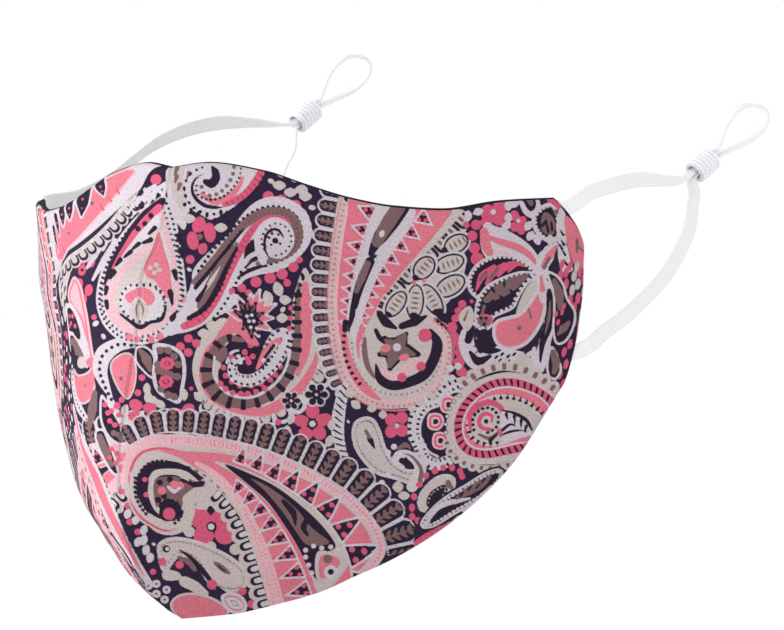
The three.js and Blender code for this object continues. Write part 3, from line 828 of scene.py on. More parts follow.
def top_curl(chart):
    """Cut off by the top edge: a dark comma in dotted bands, beside the nose."""
    patch = shape(chart, [(170, 166), (200, 160), (240, 160), (262, 172), (256, 186), (244, 200),
        (228, 212), (212, 220), (200, 214), (190, 212), (186, 230), (178, 222), (172, 206), (168, 190)])
    patch.fill("chalk")
    shape(chart, [(172, 168), (186, 164), (184, 182), (188, 196), (184, 212), (176, 200),
        (171, 184)]).fill("cream")
    for x, y in [(176, 180), (179, 188), (188, 176), (176, 172)]:
        stroke(chart, "taupe", [(x, y+3), (x+2, y-3)], [0.3, 0.7])
    outer = line(chart, [(208, 172), (196, 178), (191, 188), (194, 199), (204, 207), (218, 209),
        (234, 204), (248, 192), (258, 178), (262, 168)])
    outer.dots("ink", 1.6, 1.70, 0.55)
    stroke(chart, "ink", [(207, 173), (197, 179), (193, 188), (196, 198), (206, 206), (218, 208),
        (226, 207)], [0.2, 0.4, 0.5, 0.6, 0.7, 0.6, 0.2])
    band = stroke(chart, "rose", [(226, 205), (238, 200), (250, 190), (260, 176), (262, 170)],
        [0.9, 1.0, 1.1, 1.2, 1.2])
    band.dashes("ink", 1.0, 1.6, 0.3, 1.6)
    inner = line(chart, [(203, 184), (203, 192), (209, 196), (219, 194), (228, 186), (234, 174),
        (235, 164)])
    inner.dots("taupe", 0.0, 2.00, 0.73)
    stroke(chart, "salmon", [(202, 194), (214, 202), (226, 199), (238, 190), (244, 178)],
        [0.4, 0.9, 1.0, 0.8, 0.5])
    mid = line(chart, [(198, 184), (198, 194), (208, 200), (222, 198), (232, 190), (240, 178),
        (242, 166)])
    mid.dots("ink", 0.0, 1.38, 0.50)
    stroke(chart, "ink", [(212, 166), (216, 172), (217, 179), (212, 184), (206, 182)],
        [0.2, 1.2, 1.3, 1.6, 0.8])
    on_squares(disc, chart, "ink", [(186, 205), (192, 210), (200, 213), (208, 216), (216, 220),
        (226, 216), (222, 212), (234, 210), (244, 205), (252, 197), (258, 190)], 0.65)
    on_squares(leaf, chart, "cream", [(280, 186), (291, 193), (306, 197), (302, 190), (222, 228),
        (190, 219)], 1.9, 1.5)
    with_sizes(disc, chart, "rose", [(269, 197, 1.6), (282, 201, 1.7), (296, 206, 1.65), (304, 213, 1.0)])


def flower_bunch(chart):
    """A small bunch of rose petals beside the curled boteh."""
    with_sizes(petal, chart, "rose", [(200, 225, 1.9, 2.4, 20), (211, 233, 1.7, 2.9, -5),
        (194, 241, 1.7, 2.7, -10), (204, 249, 1.3, 1.7, 20)])
    disc(chart, "taupe", (201, 237), 0.9)


def curl_boteh(chart):
    """Upper middle: a boteh with a spiral head and a long tail that runs down to the left."""
    stroke(chart, "chalk", [(172, 330), (196, 318), (222, 296), (240, 262), (256, 236), (270, 222),
        (284, 222), (294, 234), (290, 250), (276, 262), (258, 268), (244, 275), (238, 283)],
        [1.6, 2.4, 3.6, 5.0, 6.0, 6.4, 6.8, 7.0, 6.4, 3.8, 2.8, 2.0, 1.2])
    shape(chart, [(196, 268), (214, 248), (232, 232), (250, 216), (270, 208), (290, 212), (302, 226),
        (302, 244), (292, 258), (276, 266), (258, 270), (240, 282), (228, 300), (212, 320), (188, 332),
        (172, 330), (184, 308), (192, 286)]).fill("chalk")
    rim = line(chart, [(196, 272), (210, 252), (226, 234), (244, 216), (262, 206), (282, 205),
        (298, 214), (305, 230), (303, 246), (292, 258), (272, 267), (252, 272), (240, 282)])
    rim.dots("ink", 0.75, 1.7, 0.62)
    under = line(chart, [(186, 332), (206, 322), (222, 304), (234, 282), (243, 262), (252, 244),
        (264, 232)])
    under.dots("ink", 0.95, 1.7, 0.6)
    stroke(chart, "taupe", [(196, 282), (214, 262), (232, 240), (250, 221), (270, 213), (288, 216),
        (297, 228), (297, 242), (288, 253), (272, 260), (258, 264)],
        [0.9, 1.1, 1.2, 1.3, 1.3, 1.6, 1.7, 1.8, 1.6, 1.3, 0.6]).dashes("ink", 1.6, 1.3, 0.32, 1.2,
        start=14)
    band = stroke(chart, "rose", [(186, 326), (202, 318), (216, 300), (228, 276), (240, 252), (252, 232),
        (266, 220), (282, 218), (292, 224)], [1.2, 1.5, 1.5, 1.4, 1.3, 1.3, 1.1, 0.9, 0.3])
    band.dashes("ink", 1.3, 1.8, 0.3, 1.5)
    stroke(chart, "ink", [(197, 288), (212, 270), (228, 250), (244, 230)], [0.7, 0.6, 0.6, 0.3])
    stroke(chart, "taupe", [(202, 306), (214, 284), (226, 262), (238, 244)], [1.2, 2.0, 1.6, 0.5])
    stroke(chart, "cream", [(204, 294), (212, 282), (222, 266)], [0.4, 0.7, 0.3])
    stroke(chart, "ink", [(190, 318), (206, 308), (218, 290), (228, 268), (238, 248)],
        [0.7, 0.8, 0.9, 0.7, 0.4])
    stroke(chart, "ink", [(199, 300), (208, 286)], [0.8, 0.4])
    stroke(chart, "ink", [(246, 258), (252, 248), (262, 240), (266, 244), (264, 252), (252, 258),
        (246, 266)], [0.5, 1.4, 1.6, 1.0, 1.5, 1.6, 0.9])
    leaf(chart, "cream", (262, 247), 1.6, 2.6, 20)
    stroke(chart, "chalk", [(244, 266), (252, 257), (262, 254), (268, 258)], [0.5, 0.9, 0.9, 0.5])
    stroke(chart, "ink", [(248, 262), (256, 258), (264, 256)], [0.2, 0.5, 0.3])
    stroke(chart, "ink", [(242, 276), (252, 270), (266, 266)], [0.5, 0.7, 0.4])
    stroke(chart, "chalk", [(264, 262), (262, 248), (264, 234), (274, 226), (284, 230), (287, 242),
        (280, 252), (270, 252)], [1.0, 1.8, 2.2, 2.4, 2.4, 2.4, 2.2, 1.4])
    disc(chart, "chalk", (275, 240), 2.6)
    stroke(chart, "ink", [(270, 258), (266, 250), (266, 238), (272, 230), (280, 231), (284, 238)],
        [0.3, 0.45, 0.5, 0.5, 0.5, 0.3])
    ring = line(chart, [(266, 252), (262, 242), (266, 230), (276, 224), (287, 228), (292, 240),
        (286, 252), (276, 256)])
    ring.dots("ink", 0.0, 1.60, 0.50)
    disc(chart, "ink", (276, 241), 1.0)
    on_squares(disc, chart, "ink", [(270, 238), (273, 234), (279, 235), (272, 245), (281, 244)], 0.55)
    with_sizes(disc, chart, "rose", [(233, 291, 1.0), (243, 288, 1.25), (250, 293, 1.0), (257, 282, 1.6),
        (271, 278, 1.65), (283, 274, 1.6), (294, 267, 1.5), (300, 260, 1.0), (288, 283, 1.1)])
    for x, y, turn in [(279, 289, -20), (269, 298, -20)]:
        leaf(chart, "cream", (x, y), 1.5, 2.4, turn)


def ring_boteh(chart):
    """Middle: a boteh that curls into a ring of dots, with a spiky flower above it."""
    shape(chart, [(222, 318), (234, 322), (234, 336), (224, 352), (228, 372), (246, 390), (268, 386),
        (286, 368), (292, 340), (292, 312), (298, 284), (306, 268), (314, 290), (316, 330), (324, 352),
        (318, 372), (306, 396), (280, 414), (250, 420), (222, 412), (202, 394), (194, 368), (200, 344),
        (212, 328)]).fill("cream")
    stroke(chart, "cream", [(232, 330), (212, 348), (208, 372), (220, 394), (246, 404), (274, 398),
        (296, 378), (306, 350), (304, 320), (304, 290)], [2.0, 3.2, 3.8, 4.2, 4.6, 4.6, 4.0, 3.4, 2.8,
        1.6])
    fringe = line(chart, [(206, 398), (222, 410), (246, 417), (270, 413), (292, 400), (310, 382),
        (324, 362)])
    fringe.leaves("chalk", -0.8, 4.6, 4.0, full=1.08, grow=1.3)
    fringe.leaves("ink", -0.8, 3.9, 4.0, full=0.84, inset=0.2, grow=1.3)
    fringe.leaves("cream", -0.8, 2.9, 4.0, full=0.6, grow=1.3)
    fringe.dashes("taupe", 0.2, 2.0, 0.5, 1.4)
    stroke(chart, "salmon", [(226, 330), (208, 352), (204, 376), (214, 396), (236, 408), (262, 411),
        (284, 402), (302, 386), (314, 366), (318, 352)], [0.5, 0.6, 0.8, 1.1, 1.0, 1.2, 1.6, 1.4, 1.2,
        0.5])
    stroke(chart, "salmon", [(306, 284), (306, 304), (306, 330), (304, 356), (298, 374)],
        [0.8, 2.0, 2.0, 1.6, 0.6])
    stroke(chart, "salmon", [(306, 300), (314, 294)], [1.0, 0.3])
    ring = stroke(chart, "taupe", [(244, 340), (228, 338), (216, 350), (209, 366), (212, 384),
        (226, 398), (248, 402), (268, 396), (284, 382), (294, 362), (298, 336), (298, 306), (300, 284)],
        [0.6, 1.2, 1.5, 1.9, 2.0, 1.7, 1.5, 1.5, 1.5, 1.3, 0.9, 0.8, 0.6])
    ring.dashes("ink", 0.75, 4.0, 1.4, 2.4, start=2.0)
    stroke(chart, "chalk", [(216, 356), (216, 376), (228, 392), (248, 397), (266, 391), (282, 376),
        (290, 356), (292, 330)], [0.35, 0.4, 0.4, 0.4, 0.4, 0.4, 0.4, 0.3])
    bed = shape(chart, [(232, 348), (222, 364), (220, 378), (230, 390), (248, 395), (264, 390),
        (278, 378), (288, 360), (291, 330), (293, 300), (288, 316), (280, 336), (268, 352), (262, 346),
        (256, 338), (248, 350)])
    bed.fill("ink")
    disc(chart, "ink", (228, 354), 2.6)
    petal(chart, "taupe", (224, 354), 1.4, 2.6, 20)
    stroke(chart, "chalk", [(228, 362), (233, 352), (240, 350)], [0.4, 0.5, 0.3])
    on_squares(disc, chart, "rose", [(225, 367), (227, 375), (222, 383), (227, 388), (233, 381),
        (234, 392), (241, 385), (242, 393), (249, 393), (252, 385), (257, 391), (262, 383), (266, 388),
        (271, 379), (276, 374), (281, 366), (233, 357), (246, 352), (252, 345), (254, 356), (250, 362)],
        0.95)
    on_squares(disc, chart, "rose", [(292, 308), (291, 318), (290, 328), (258, 344), (248, 358)], 0.85)
    swirl = stroke(chart, "chalk", [(240, 358), (234, 366), (236, 376), (246, 380), (258, 378),
        (272, 366), (282, 350), (286, 336), (280, 334), (270, 346), (262, 362)],
        [1.2, 1.5, 1.8, 1.9, 1.9, 2.1, 2.1, 1.8, 1.8, 1.4, 1.0])
    swirl.dots("ink", 0.75, 1.55, 0.53)
    stroke(chart, "salmon", [(258, 368), (268, 352), (279, 341)], [0.5, 1.5, 1.2])
    stroke(chart, "chalk", [(264, 360), (272, 350), (277, 344)], [0.5, 0.8, 0.5])
    stroke(chart, "ink", [(266, 357), (275, 345)], [0.5, 0.5])
    disc(chart, "chalk", (241, 359), 1.5)
    on_squares(disc, chart, "ink", [(238, 358), (243, 356), (245, 361), (239, 364)], 0.55)
    side = line(chart, [(286, 350), (289, 330), (290, 310), (293, 294), (299, 278)])
    side.dots("ink", 1.4, 1.90, 0.55)
    shape(chart, [(226, 324), (236, 308), (248, 314), (252, 330), (260, 344), (250, 344), (240, 334),
        (230, 334), (218, 336)]).fill("salmon")
    for dx, dy in [(-22, -7), (-12, -22), (2, -24), (11, -28), (18, -20), (27, -14), (24, 0), (22, 12),
        (10, 18), (-4, -14)]:
        x, y = 250 + dx, 318 + dy
        stroke(chart, "chalk", [(250, 318), (250+dx*0.6, 318+dy*0.6), (x, y)], [1.6, 1.7, 0.5])
    for dx, dy in [(-22, -7), (-12, -22), (2, -24), (11, -28), (18, -20), (27, -14), (24, 0), (22, 12),
        (10, 18)]:
        x, y = 250 + dx*0.92, 318 + dy*0.92
        stroke(chart, "salmon", [(250, 318), (250+dx*0.55, 318+dy*0.55), (x, y)], [1.0, 1.3, 0.2])
    for dx, dy in [(-14, -8), (-9, -17), (-2, -18), (7, -16), (14, -6), (13, 4), (10, 14), (3, 18),
        (-6, 10)]:
        stroke(chart, "ink", [(250, 319), (250+dx*0.6, 319+dy*0.6), (250+dx, 319+dy)], [0.9, 1.1, 0.5])
        stroke(chart, "taupe", [(250+dx*0.5, 319+dy*0.5), (250+dx*0.85, 319+dy*0.85)], [0.35, 0.35])
    disc(chart, "ink", (251, 320), 2.2)
    on_squares(disc, chart, "chalk", [(248, 316), (253, 315), (250, 321), (255, 321), (252, 327),
        (258, 328)], 0.55)
    on_squares(leaf, chart, "cream", [(213, 325), (205, 333), (283, 318), (286, 300)], 1.7, 1.5)
    on_squares(disc, chart, "rose", [(182, 346), (190, 338), (198, 343), (190, 352)], 1.25)


def spine_leaves(chart):
    """A column of barbed taupe leaves along the upper boteh's left border."""
    spine = line(chart, [(347, 186), (342, 212), (336, 240), (332, 268), (330, 300), (331, 326),
        (335, 352), (343, 378), (354, 394)])
    spine.ears(7.8, 4.8, grow=0.55)


def upper_boteh(chart):
    """The large boteh in the upper middle, with a hooked foot and a field of leaves."""
    body = shape(chart, [(340, 196), (350, 204), (390, 208), (430, 212), (462, 210), (468, 222),
        (462, 244), (466, 262), (460, 284), (450, 300), (440, 310), (434, 320), (448, 332), (452, 350),
        (448, 374), (438, 392), (420, 404), (396, 408), (372, 406), (354, 396), (342, 378), (334, 352),
        (330, 322), (328, 290), (330, 258), (334, 226)])
    body.fill("cream")
    border = line(chart, [(346, 196), (342, 216), (338, 240), (334, 268), (332, 300), (333, 326),
        (336, 350), (343, 374), (356, 392), (376, 403), (398, 406), (420, 401), (438, 388), (446, 370),
        (450, 348), (445, 330), (432, 318)])
    border.band("blush", -1.8, -0.9)
    border.band("salmon", 0.9, 1.4)
    border.dashes("salmon", -0.1, 1.6, 0.7, 1.0, start=2)
    outer = shape(chart, [(351, 198), (372, 204), (392, 208), (378, 222), (366, 240), (356, 262),
        (350, 286), (347, 310), (347, 332), (352, 356), (362, 376), (375, 392), (382, 400), (366, 394),
        (352, 378), (344, 354), (339, 326), (338, 300), (340, 270), (344, 238), (348, 214)])
    outer.fill("salmon")
    second = shape(chart, [(414, 208), (452, 209), (446, 222), (432, 240), (416, 258), (402, 274),
        (390, 290), (378, 308), (368, 326), (362, 342), (356, 330), (362, 306), (372, 284), (384, 264),
        (396, 246), (408, 226)])
    second.fill("cream")
    second.fill("salmon", 0.3)
    heart = shape(chart, [(372, 204), (386, 206), (410, 208), (416, 212), (408, 228), (396, 244),
        (384, 262), (376, 280), (368, 300), (362, 322), (358, 340), (352, 340), (350, 320), (352, 298),
        (356, 276), (362, 254), (368, 232), (372, 218)])
    heart.fill("chalk")
    stroke(chart, "ink", [(402, 206), (388, 226), (376, 244), (371, 254)], [2.6, 2.7, 2.2, 0.9])
    stroke(chart, "taupe", [(400, 206), (388, 224), (377, 243)], [2.0, 2.1, 1.4])
    leaf(chart, "chalk", (382, 234), 0.8, 1.3, 20)
    stroke(chart, "ink", [(376, 256), (368, 262)], [0.5, 0.5])
    stroke(chart, "ink", [(370, 262), (362, 280), (357, 296), (353, 314), (349, 332)],
        [1.5, 1.6, 1.3, 1.0, 0.2])
    stroke(chart, "taupe", [(368, 264), (362, 278), (357, 292)], [1.0, 1.2, 0.6])
    left_teeth = line(chart, [(379, 206), (371, 222), (364, 242), (358, 264), (354, 286), (350, 308),
        (347, 330)])
    right_teeth = line(chart, [(424, 207), (408, 228), (392, 250), (379, 270), (370, 290), (362, 312),
        (357, 334)])
    left_teeth.beaded_teeth(6.2, 5.9, grow=0.45)
    right_teeth.beaded_teeth(-6.0, 5.9, grow=0.45)
    tail = line(chart, [(346, 326), (344, 342), (346, 358), (352, 372), (362, 386)])
    tail.dashes("ink", 0.0, 1.9, 0.9, 1.2)
    stroke(chart, "ink", [(346, 322), (345, 330)], [0.9, 0.7])
    stroke(chart, "chalk", [(357, 310), (356, 330), (356, 350), (362, 366), (372, 380)],
        [0.35, 0.35, 0.35, 0.35, 0.3])
    stroke(chart, "salmon", [(362, 326), (358, 342), (359, 358)], [0.7, 0.6, 0.3])
    cups = line(chart, [(464, 212), (452, 226), (440, 240), (428, 252), (414, 264), (402, 276),
        (392, 288), (382, 300), (376, 312)])
    cups.leaves("ink", 0.2, -4.2, 4.6, full=0.94)
    cups.leaves("cream", 0.6, -3.9, 4.6, full=0.6)
    cups.leaves("taupe", 0.2, -1.9, 4.6, full=0.2)
    for x, y, half_wide, half_tall, turn in [(456, 244, 2.4, 3.6, 60), (449, 264, 2.4, 4.4, 70),
        (450, 286, 2.6, 4.6, 60), (432, 300, 2.3, 5.0, -30), (415, 302, 2.3, 5.0, 5),
        (396, 304, 2.2, 4.2, 35), (424, 268, 2.6, 3.6, 40)]:
        petal(chart, "chalk", (x, y), half_wide + 1.0, half_tall + 1.0, turn)
        petal(chart, "ink", (x, y), half_wide + 0.45, half_tall + 0.45, turn)
        petal(chart, "cream", (x, y), half_wide - 0.1, half_tall - 0.1, turn)
        lean = math.radians(turn)
        for step in (-9, -4, 1, 6):
            middle = (x - step * math.sin(lean), y + step * math.cos(lean))
            petal(chart, "taupe", middle, 1.3, 0.3, turn)
        petal(chart, "ink", (x - 13 * math.sin(lean), y + 13 * math.cos(lean)), 1.2, 0.8, turn)
    on_squares(disc, chart, "salmon", [(414, 283), (424, 281)], 0.7)
    for squares in [[(380, 314), (386, 322), (396, 328)], [(402, 326), (414, 322), (426, 316)],
        [(436, 312), (446, 318), (456, 312)]]:
        stroke(chart, "ink", squares, [1.0, 1.4, 0.4])
    hook = shape(chart, [(372, 330), (386, 332), (398, 330), (414, 326), (430, 324), (442, 336),
        (444, 354), (436, 374), (420, 388), (398, 394), (378, 390), (366, 374), (364, 352)])
    hook.fill("cream")
    for squares, spacing in [([(352, 340), (354, 360), (364, 380), (382, 392), (404, 394), (424, 386),
        (438, 368), (442, 350)], 1.6), ([(362, 342), (364, 358), (372, 374), (386, 384), (404, 386)],
        1.8)]:
        line(chart, squares).dots("taupe", 0.0, spacing, 0.34)
    stroke(chart, "taupe", [(365, 338), (365, 352), (368, 366), (374, 376)], [0.5, 0.8, 0.8, 0.5])
    stroke(chart, "ink", [(376, 364), (380, 378), (392, 385), (408, 382), (424, 374), (434, 358),
        (437, 342), (430, 331)], [0.3, 1.3, 1.4, 1.5, 1.6, 1.6, 1.6, 0.8])
    stroke(chart, "ink", [(376, 330), (380, 338), (386, 344)], [0.6, 0.7, 0.3])
    stroke(chart, "blush", [(384, 372), (394, 376), (406, 370), (414, 362), (424, 360)],
        [0.9, 1.1, 1.1, 1.0, 0.6])
    with_sizes(disc, chart, "rose", [(425, 335, 2.0), (402, 377, 1.4), (421, 366, 1.4)])
    for tip, wide in [((385, 338), 2.2), ((406, 334), 2.2), ((418, 354), 2.2), ((390, 368), 2.4),
        ((380, 354), 2.2)]:
        mid = ((2*tip[0]+396)/3, (2*tip[1]+348)/3)
        stroke(chart, "ink", [(396, 348), mid, tip], [1.2, wide, 0.8])
    for tip, wide in [((386, 340), 1.7), ((405, 335), 1.8), ((414, 354), 1.5), ((390, 366), 1.8),
        ((382, 353), 1.5)]:
        mid = ((2*tip[0]+396)/3, (2*tip[1]+348)/3)
        stroke(chart, "taupe", [(396, 348), mid, tip], [1.0, wide, 0.6])
    on_squares(petal, chart, "salmon", [(386, 348), (404, 357)], 1.6, 1.2, -20)
    disc(chart, "chalk", (397, 347), 1.2)
    disc(chart, "cream", (390, 333), 1.4)


def right_orchid(chart):
    """Upper right: a flower of long leaves round a salmon bulb, with a white lobed foot."""
    top = shape(chart, [(482, 228), (487, 222), (494, 226), (506, 230), (520, 238), (532, 248),
        (540, 262), (541, 276), (528, 266), (510, 262), (494, 262), (486, 258), (480, 246)])
    top.fill("chalk")
    stroke(chart, "salmon", [(484, 232), (486, 246), (492, 258)], [1.3, 1.6, 0.8])
    stroke(chart, "salmon", [(486, 236), (500, 242), (516, 247), (530, 256), (538, 268)],
        [0.6, 1.1, 1.2, 1.0, 0.4])
    stroke(chart, "blush", [(494, 250), (508, 255), (522, 260)], [0.5, 0.7, 0.4])
    lens = shape(chart, [(478, 300), (468, 290), (468, 276), (476, 264), (490, 256), (506, 254),
        (520, 258), (534, 268), (540, 276), (524, 276), (508, 280), (494, 288), (484, 298)])
    lens.fill("chalk")
    lens.fill("ink", 0.5)
    lens.dots("chalk", 0.9, 1.50, 0.50)
    for squares, ink, widths in [([(476, 290), (482, 276), (494, 266)], "rose", [0.4, 1.2, 0.6]),
        ([(486, 284), (494, 272), (504, 264)], "rose", [0.5, 1.2, 0.6]),
        ([(498, 276), (506, 266), (514, 262)], "rose", [0.5, 1.1, 0.5]),
        ([(508, 272), (516, 264), (524, 266)], "rose", [0.4, 0.8, 0.4]),
        ([(480, 280), (486, 272)], "taupe", [0.5, 0.5]), ([(490, 278), (498, 268)], "taupe", [0.5, 0.5])]:
        stroke(chart, ink, squares, widths)
    low = shape(chart, [(474, 312), (478, 296), (488, 284), (504, 276), (522, 271), (540, 274),
        (528, 284), (520, 296), (514, 308), (502, 314), (494, 318), (492, 326), (484, 332), (476, 326)])
    low.fill("chalk")
    low.fill("ink", 0.5)
    low.dots("chalk", 1.0, 1.60, 0.50)
    stroke(chart, "taupe", [(486, 300), (498, 292), (512, 284), (526, 276)], [1.0, 2.2, 2.0, 0.8])
    for squares in [[(492, 300), (496, 306)], [(500, 296), (506, 302)], [(510, 290), (514, 294)],
        [(494, 292), (492, 288)], [(504, 286), (504, 282)]]:
        stroke(chart, "ink", squares, [0.35, 0.35])
    stroke(chart, "taupe", [(484, 306), (480, 320)], [0.6, 0.5])
    petal(chart, "rose", (485, 320), 2.4, 1.9, 0)
    petal(chart, "taupe", (484, 321), 1.6, 1.3, 0)
    on_squares(disc, chart, "ink", [(481, 318), (486, 318), (484, 324)], 0.5)
    pale = shape(chart, [(516, 312), (520, 300), (526, 288), (536, 277), (541, 276), (536, 294),
        (528, 306), (518, 318)])
    pale.fill("cream")
    bulb = shape(chart, [(541, 284), (546, 300), (544, 318), (536, 334), (524, 346), (508, 350),
        (496, 344), (492, 332), (496, 320), (508, 316), (520, 312), (530, 300), (537, 288)])
    bulb.fill("chalk")
    bulb.fill("salmon", 0.8)
    bulb.band("blush", 0.7, 1.2)
    stroke(chart, "taupe", [(528, 308), (531, 318)], [0.25, 0.35])
    disc(chart, "taupe", (519, 328), 0.7)
    stroke(chart, "chalk", [(556, 244), (548, 256), (542, 266), (541, 284), (543, 300)],
        [0.5, 1.9, 1.9, 1.3, 1.0])
    stroke(chart, "salmon", [(556, 246), (549, 256), (543, 266)], [0.4, 1.2, 0.8])
    stroke(chart, "taupe", [(549, 258), (544, 268)], [0.5, 0.6])
    stroke(chart, "salmon", [(541, 276), (542, 290)], [0.5, 0.8])
    spear = shape(chart, [(545, 280), (552, 290), (554, 310), (553, 330), (549, 350), (545, 366),
        (542, 372), (536, 362), (538, 344), (544, 322), (547, 300)])
    spear.fill("chalk")
    stroke(chart, "ink", [(549, 290), (551, 308), (548, 326), (543, 340), (541, 352), (540, 364)],
        [0.6, 1.5, 1.4, 1.3, 0.8, 0.3])
    stroke(chart, "taupe", [(550, 300), (549, 316), (545, 334)], [0.3, 0.6, 0.3])
    wing = shape(chart, [(546, 272), (556, 274), (564, 284), (568, 298), (576, 312), (574, 328),
        (566, 342), (556, 344), (552, 330), (553, 310), (552, 292)])
    wing.fill("chalk")
    wing.fill("ink", 0.6)
    stroke(chart, "taupe", [(554, 280), (559, 294), (560, 308)], [0.7, 1.5, 0.8])
    on_squares(petal, chart, "rose", [(556, 314), (562, 312), (558, 322), (564, 306), (561, 328)], 0.6,
        1.2, 15)
    stroke(chart, "taupe", [(558, 334), (564, 328), (569, 322)], [0.5, 1.2, 0.6])
    tailed = shape(chart, [(550, 346), (556, 350), (560, 360), (562, 370), (556, 380), (548, 376),
        (546, 364)])
    tailed.fill("chalk")
    tailed.fill("ink", 0.6)
    stroke(chart, "taupe", [(553, 352), (556, 364), (554, 372)], [0.9, 1.3, 0.8])
    stroke(chart, "chalk", [(470, 326), (466, 340), (470, 354), (478, 362), (490, 358), (500, 352)],
        [1.6, 2.2, 2.4, 2.4, 2.4, 2.0])
    stroke(chart, "ink", [(471, 328), (468, 340)], [1.2, 1.2])
    stroke(chart, "ink", [(484, 334), (484, 346), (492, 350), (500, 350)], [1.6, 2.0, 1.4, 0.4])
    stroke(chart, "ink", [(470, 352), (478, 361), (490, 356)], [0.6, 1.4, 0.6])
    shape(chart, [(500, 352), (512, 350), (528, 352), (534, 348), (530, 356), (514, 362), (498, 364),
        (492, 358)]).fill("chalk")
    for x, y in [(496, 357), (502, 354), (508, 356), (514, 354), (520, 355), (500, 360), (508, 361),
        (526, 352)]:
        stroke(chart, "ink", [(x-1, y+1), (x+1, y-1)], [0.45, 0.45])
    on_squares(disc, chart, "taupe", [(476, 338), (474, 346), (476, 352)], 0.45)
    heap = shape(chart, [(470, 306), (474, 316), (472, 326), (466, 332), (462, 326), (458, 318),
        (462, 310)])
    heap.fill("cream")
    stroke(chart, "taupe", [(468, 310), (464, 320)], [0.2, 0.4])
    stroke(chart, "cream", [(522, 358), (530, 364), (538, 370)], [1.6, 1.4, 1.0])
    stroke(chart, "chalk", [(534, 348), (534, 358), (540, 370)], [0.5, 1.0, 1.0])


def right_edge(chart):
    """The ear edge's top: a cut-off ring, a long pale leaf, narrow leaves and a strip of blush."""
    ring = shape(chart, [(520, 190), (520, 206), (526, 216), (536, 218), (540, 206), (536, 190)])
    ring.fill("chalk")
    shape(chart, [(522, 190), (524, 204), (530, 212), (536, 206), (534, 190)]).fill("ink", 0.0)
    shape(chart, [(525, 192), (528, 204), (532, 207), (534, 200), (532, 190)]).fill("taupe")
    boss = shape(chart, [(533, 214), (544, 204), (554, 204), (560, 216), (562, 232), (556, 242),
        (546, 242), (536, 234), (532, 224)])
    boss.fill("chalk")
    boss.fill("ink", 0.7)
    boss.dots("chalk", 1.0, 1.40, 0.50)
    shape(chart, [(540, 222), (544, 212), (552, 216), (556, 226), (552, 236), (542, 232)]).fill("taupe")
    for squares in [[(542, 226), (546, 220)], [(548, 232), (546, 222)], [(552, 230), (551, 222)]]:
        stroke(chart, "ink", squares, [0.4, 0.3])
    disc(chart, "taupe", (556, 212), 0.9)
    stroke(chart, "rose", [(550, 200), (558, 206), (562, 214)], [0.8, 0.9, 0.4])
    gusset = shape(chart, [(560, 208), (566, 216), (568, 228), (566, 240), (570, 258), (573, 270),
        (563, 272), (558, 258), (558, 240), (556, 226)])
    gusset.fill("chalk")
    for x, y in [(562, 232), (563, 242), (564, 252), (566, 262), (561, 246)]:
        stroke(chart, "ink", [(x-2, y-2), (x+1, y+3)], [0.3, 0.5])
    long = shape(chart, [(564, 216), (572, 220), (580, 232), (586, 248), (585, 262), (582, 270),
        (574, 264), (568, 248), (565, 232)])
    long.fill("salmon")
    stroke(chart, "taupe", [(577, 240), (577, 252)], [0.5, 0.3])
    stroke(chart, "taupe", [(578, 246), (584, 252)], [0.3, 0.3])
    for x, y, ink in [(562, 264, "rose"), (566, 272, "rose"), (570, 266, "rose"), (574, 276, "cream"),
        (580, 272, "rose"), (584, 280, "rose"), (566, 284, "rose"), (572, 290, "cream"),
        (578, 284, "cream"), (584, 292, "cream"), (570, 300, "rose"), (578, 298, "rose"),
        (584, 304, "rose"), (574, 308, "rose"), (582, 314, "cream"), (560, 276, "rose"),
        (590, 286, "rose"), (577, 266, "cream")]:
        petal(chart, ink, (x, y), 0.75, 1.7, 8)
    strip = shape(chart, [(580, 316), (590, 312), (588, 340), (578, 372), (568, 398), (564, 396),
        (570, 370), (576, 344)])
    strip.fill("blush")
    on_squares(petal, chart, "rose", [(568, 330), (570, 344), (564, 352), (566, 364), (560, 374),
        (574, 322), (563, 384)], 0.7, 1.5, 12)
    with_sizes(disc, chart, "rose", [(476, 225, 1.5), (472, 236, 1.5), (474, 248, 1.6), (477, 259, 1.9),
        (466, 225, 1.0), (462, 304, 1.2), (458, 311, 1.1), (455, 318, 1.2), (452, 327, 1.5),
        (454, 336, 1.3), (458, 343, 1.3), (460, 352, 1.5), (459, 362, 1.6), (461, 371, 1.5),
        (466, 375, 1.4), (474, 375, 1.5)])
    with_sizes(petal, chart, "rose", [(488, 213, 2.2, 2.4, 20), (500, 208, 1.8, 2.4, -20),
        (500, 220, 2.2, 1.7, -10), (486, 222, 1.9, 1.2, -10), (514, 216, 1.4, 1.6, 0),
        (522, 222, 1.3, 1.7, 10), (514, 227, 1.3, 1.4, 0), (521, 230, 1.3, 1.4, 0)])
    disc(chart, "chalk", (493, 212), 0.8)
    disc(chart, "chalk", (518, 221), 0.6)
    for x, y, turn in [(478, 212, 70), (468, 216, 0), (508, 218, 0), (506, 226, 60), (528, 226, 30),
        (530, 236, 30), (537, 240, -20), (547, 250, 30), (542, 256, 0), (550, 240, 0), (508, 206, 0),
        (514, 204, 60)]:
        leaf(chart, "chalk", (x, y), 1.1, 1.7, turn)
    on_squares(leaf, chart, "chalk", [(450, 368), (446, 377), (452, 378), (458, 366), (444, 383)], 1.1,
        1.2, 0)


